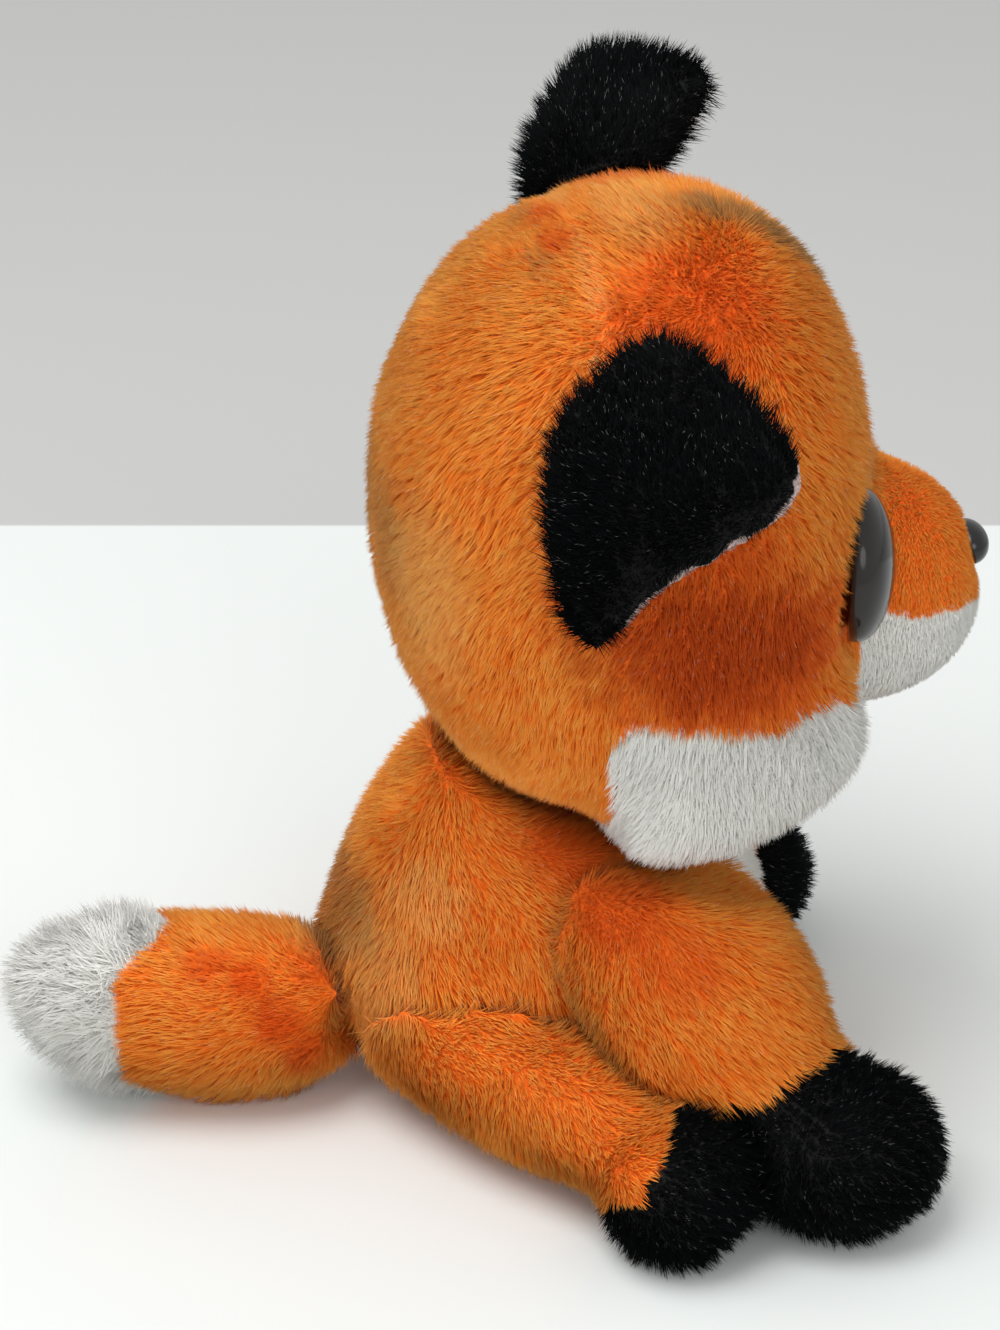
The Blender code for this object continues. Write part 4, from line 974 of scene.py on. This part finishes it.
class FOX_OT_ears(Maker, bpy.types.Operator):
    """Sews the two cupped ears, black outside and pale inside"""
    bl_idname = "fox.ears"
    bl_label = "Ears"

    def make(self, scene):
        pile = scene.fox_pile
        ups = ((0.05, 0.25, 0.965), (0.0, -0.885, 0.46))
        for k, (side, up, hem) in enumerate(zip(SIDES, ups, (ear_hem, None))):
            coat("ear_skin_" + side, "ear_" + side, {
                "ear_pile_" + side: (["ear_back_" + side], "black", "black_plush", {
                    "Strand length": pile.ear, "Rise": 1.0, "Lie": 0.5, "Waviness": 0.7, "Clump pull": 0.5,
                    "Clump size": 2.3 * MM, "Unevenness": 0.6, "Scatter": 0.3, "Strands per area": 9.0e6}),
                "ear_lining_pile_" + side: (["ear_lining_" + side], "lining", "ear_lining", {
                    "Strand length": pile.lining, "Strand width": 0.3 * MM, "Strands per area": 8.0e6,
                    "Rise": 0.9, "Clump pull": 0.3, "Waviness": 0.3, "spread": hem}),
            }, tuple(Vector(up)), ["head_back", "head_face"], grain=1.2 * MM, depth=0.9 * MM, fill=0.25,
                seed=50 + 10 * k, swelling=0.0, rounds=2)


class FOX_OT_arms(Maker, bpy.types.Operator):
    """Sews the arms with their black paws"""
    bl_idname = "fox.arms"
    bl_label = "Arms"

    def make(self, scene):
        limbs("arm", "paw", ("leg", "foot"), {"right": cuff}, seed=80)


class FOX_OT_legs(Maker, bpy.types.Operator):
    """Sews the legs with their black feet"""
    bl_idname = "fox.legs"
    bl_label = "Legs"

    def make(self, scene):
        limbs("leg", "foot", ("arm", "paw"), {"right": haunch(8.2), "left": haunch(5.0)}, seed=110)


class FOX_OT_tail(Maker, bpy.types.Operator):
    """Sews the tail with its fluffy white tip"""
    bl_idname = "fox.tail"
    bl_label = "Tail"

    def make(self, scene):
        pile = scene.fox_pile
        coat("tail_skin", "tail", {
            "tail_pile": (["tail"], "gold", "back_plush", {"Strand length": pile.coat}),
            "tail_tip_pile": (["tail_tip"], "white", "white_plush", {
                "Strand length": pile.brush, "Rise": 1.0, "Lie": 0.45, "Waviness": 0.8, "Wave size": 6.0 * MM,
                "Clump pull": 0.5, "Scatter": 0.35, "Strand width": 0.28 * MM, "Unevenness": 0.5,
                "Strands per area": 8.0e6, "spread": brush_edge}),
        }, run_of("tail", "tail_tip"), ["body_skin"], seed=140)


# how far the eyes look outwards and the nose upwards
EYE_TURN, NOSE_LIFT = math.radians(12.0), math.radians(20.0)
# a bead is at its rim where it has this share of its width
RIM_SHARE = 0.98
# what is this far under the rim and this far from the axis is stem, and no stem is thinner than the third
UNDER_RIM, OFF_AXIS, THINNEST_STEM = 1.0 * MM, 0.5 * MM, 1.4 * MM
# a bead's lower edge is cut off by this, but by no more than the share of its rim's height
EDGE, EDGE_SHARE = 0.3 * MM, 0.4
# rings of a dome and points of a ring
DOME_RINGS, RING_POINTS = 24, 96


def bead_profile(node, foot, out):
    """Radius and height of a bead's rings, measured on its CAD node, and how wide it is for its height."""
    bm = cad_copy(node)
    heights = [(v.co - foot).dot(out) for v in bm.verts]
    wide = [abs(v.co.x - foot.x - h * out.x) / math.sqrt(1.0 - out.x ** 2) for v, h in zip(bm.verts, heights)]
    up = (Vector((0.0, 0.0, 1.0)) - out * out.z).normalized()
    tall = [abs((v.co - foot).dot(up)) for v in bm.verts]
    bm.free()
    half_width, half_height = max(wide), max(tall)
    rim = [h for h, w in zip(heights, wide) if w > half_width * RIM_SHARE]
    back, low, high, front = min(heights), min(rim), max(rim), max(heights)
    stem = max(min(w for h, w in zip(heights, tall) if h < low - UNDER_RIM and w > OFF_AXIS), THINNEST_STEM)
    edge = min(EDGE, (high - low) * EDGE_SHARE)
    profile = [(0.0, back), (stem, back), (stem, low), (half_height - edge, low), (half_height, low + edge)]
    for k in range(DOME_RINGS):
        angle = math.pi / 2 * k / DOME_RINGS
        profile.append((half_height * math.cos(angle), high + (front - high) * math.sin(angle)))
    return profile + [(0.0, front)], low, half_width / half_height


def turned_bead(name, node, washer, out, material):
    """A smooth moulded dome with its stem, as large as a CAD node and in its place."""
    out = Vector(out)
    a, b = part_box(washer)
    foot = (a + b) / 2
    profile, low, squash = bead_profile(node, foot, out)
    bm = bmesh.new()
    stand = out.to_track_quat("Z", "Y").to_matrix()
    rings = []
    for radius, height in profile:
        around = [2 * math.pi * k / RING_POINTS for k in range(RING_POINTS)] if radius else [0.0]
        rings.append([bm.verts.new(foot + stand @ Vector((radius * math.cos(t), radius * math.sin(t), height)))
                      for t in around])
    for ring, following in zip(rings, rings[1:]):
        for k in range(RING_POINTS):
            loop = [ring[k % len(ring)], ring[(k + 1) % len(ring)], following[(k + 1) % len(following)],
                    following[k % len(following)]]
            loop = list(dict.fromkeys(loop))
            if len(loop) > 2:
                bm.faces.new(loop)
    for ring, (_, height) in zip(rings, profile):
        for v in ring:
            if height > low - WELD:
                v.co.x = foot.x + (v.co.x - foot.x) * squash
    bmesh.ops.recalc_face_normals(bm, faces=bm.faces)
    for face in bm.faces:
        face.smooth = True
    mesh = bpy.data.meshes.new(name)
    bm.to_mesh(mesh)
    bm.free()
    obj = new_piece(name, mesh)
    half_height = max(radius for radius, _ in profile)
    mesh.materials.append(material(foot + out * low, out, half_height) if callable(material) else material)
    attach(obj, "head")
    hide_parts(node)


class FOX_OT_face_fittings(Maker, bpy.types.Operator):
    """Gives eyes, nose and their washers their plastics"""
    bl_idname = "fox.face_fittings"
    bl_label = "Eyes and nose"

    def make(self, scene):
        for side in SIDES:
            across = -math.sin(EYE_TURN) if side == "right" else math.sin(EYE_TURN)
            turned_bead("eye_dome_" + side, "eye_" + side, "eye_washer_" + side, (across, -math.cos(EYE_TURN), 0.0),
                        lambda base, out, radius: eye_material(
                            "eye_plastic_" + side, tuple(base), tuple(out), radius, scene.fox_colours.iris))
        turned_bead("nose_bead", "nose", "nose_washer", (0.0, -math.cos(NOSE_LIFT), math.sin(NOSE_LIFT)),
                    KIT["nose"])
        for washer in ("eye_washer_right", "eye_washer_left", "nose_washer"):
            paint(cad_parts[washer], KIT["washer"])


PHOTO_WIDTH, PHOTO_HEIGHT = 1000, 1330
# where the camera's aim stands in the photograph, in its pixels, and the width of its sensor in millimetres
AIM_ACROSS, AIM_DOWN = 610, 640
SENSOR = 36.0
# half the width of the table, and half the change from table to backdrop, in metres
TABLE_REACH, SOFT_EDGE = 4.0, 0.8 * MM
# each lamp's distance from the aim towards the camera, what is added to it, its width and the setting for its power
LAMPS = (("lamp_above", 0.0, (-0.10, 0.30, 0.85), 0.7, "key"),
         ("lamp_in_front", 1.1, (0.0, -0.35, 0.15), 0.6, "fill"))


def towards_camera(azimuth, elevation):
    """Unit vector from the aim to a camera at an azimuth and elevation, as the views count them."""
    return Vector((math.sin(azimuth) * math.cos(elevation), -math.cos(azimuth) * math.cos(elevation),
                   math.sin(elevation)))


def table_material(colours, aim, flat, backdrop):
    """White table top that ends in a plain grey backdrop."""
    mat, w, shader, place = new_finish("table_top")
    far = w.maths("SUBTRACT", w.vector("DOT_PRODUCT", place, tuple(flat)), aim.dot(flat) + backdrop)
    past = w.ramp(far, -SOFT_EDGE, SOFT_EDGE)
    w.feed(shader.inputs["Base Color"], w.blend(past, (*colours.floor, 1.0), (*colours.wall, 1.0)))
    shader.inputs["Roughness"].default_value = 0.9
    shader.inputs["Specular IOR Level"].default_value = 0.2
    return mat


class FOX_OT_stage(Maker, bpy.types.Operator):
    """Sets the table, the backdrop, the lamps and the camera"""
    bl_idname = "fox.stage"
    bl_label = "Stage"

    def make(self, scene):
        s = scene.fox_stage
        aim = Vector(s.aim)
        to_camera = towards_camera(s.azimuth, s.elevation)
        flat = Vector((-to_camera.x, -to_camera.y, 0.0)).normalized()

        mesh = bpy.data.meshes.new("table")
        corners = ((-1, -1), (1, -1), (1, 1), (-1, 1))
        mesh.from_pydata([(x * TABLE_REACH, y * TABLE_REACH, 0.0) for x, y in corners], [], [(0, 1, 2, 3)])
        table = new_piece("table", mesh)
        mesh.materials.append(table_material(scene.fox_colours, aim, flat, s.backdrop))

        world = scene.world or bpy.data.worlds.new("Studio")
        scene.world = world
        world.use_nodes = True
        ground = world.node_tree.nodes["Background"]
        ground.inputs["Color"].default_value = (1.0, 1.0, 1.0, 1.0)
        ground.inputs["Strength"].default_value = s.daylight

        for name, near, off, width, power in LAMPS:
            light = bpy.data.lights.new(name, "AREA")
            light.shape = "DISK"
            light.size = width
            light.energy = getattr(s, power)
            lamp = new_piece(name, light)
            lamp.location = aim + to_camera * near + Vector(off)
            lamp.rotation_euler = (aim - lamp.location).to_track_quat("-Z", "Y").to_euler()

        lens = bpy.data.cameras.new("camera")
        lens.lens = s.lens
        lens.sensor_width = SENSOR
        lens.sensor_fit = "AUTO"
        lens.shift_x = (PHOTO_WIDTH / 2 - AIM_ACROSS) / PHOTO_HEIGHT
        lens.shift_y = (AIM_DOWN - PHOTO_HEIGHT / 2) / PHOTO_HEIGHT
        lens.clip_start = 10.0 * MM
        camera = new_piece("camera", lens)
        camera.location = aim + to_camera * s.distance
        camera.rotation_euler = (-to_camera).to_track_quat("-Z", "Y").to_euler()
        scene.camera = camera
        scene.view_settings.view_transform = "Standard"


class FOX_PT_panel(bpy.types.Panel):
    """Sizes, colours and makers of the plush fox"""
    bl_idname = "FOX_PT_panel"
    bl_label = "Plush fox"
    bl_space_type = "VIEW_3D"
    bl_region_type = "UI"
    bl_category = "Plush fox"

    def draw(self, context):
        layout = self.layout
        for group in GROUPS:
            box = layout.box()
            box.label(text=group[2])
            settings = getattr(context.scene, group[0])
            for name in group[1].__annotations__:
                box.prop(settings, name)
        column = layout.column()
        for maker in MAKERS:
            column.operator(maker.bl_idname)


GROUPS = (("fox_cloth", FoxClothSettings, "Cloth"), ("fox_pile", FoxPileSettings, "Pile"),
          ("fox_colours", FoxColourSettings, "Colours"), ("fox_stage", FoxStageSettings, "Stage"))
MAKERS = (FOX_OT_stage, FOX_OT_face_fittings, FOX_OT_head, FOX_OT_ears, FOX_OT_body, FOX_OT_arms, FOX_OT_legs,
          FOX_OT_tail)


def register():
    """Adds the settings, makers and panel."""
    for cls in (*[g[1] for g in GROUPS], *MAKERS, FOX_PT_panel):
        bpy.utils.register_class(cls)
    for name, cls, _ in GROUPS:
        setattr(bpy.types.Scene, name, bpy.props.PointerProperty(type=cls))


def unregister():
    """Takes them out again."""
    for name, _, _ in GROUPS:
        delattr(bpy.types.Scene, name)
    for cls in (FOX_PT_panel, *reversed(MAKERS), *[g[1] for g in reversed(GROUPS)]):
        bpy.utils.unregister_class(cls)


def main():
    """Makes the whole fox."""
    register()
    for maker in MAKERS:
        space, name = maker.bl_idname.split(".")
        if getattr(getattr(bpy.ops, space), name)() != {"FINISHED"}:
            raise RuntimeError(f"{maker.bl_label} couldn't be made")


if __name__ == "__main__":
    main()
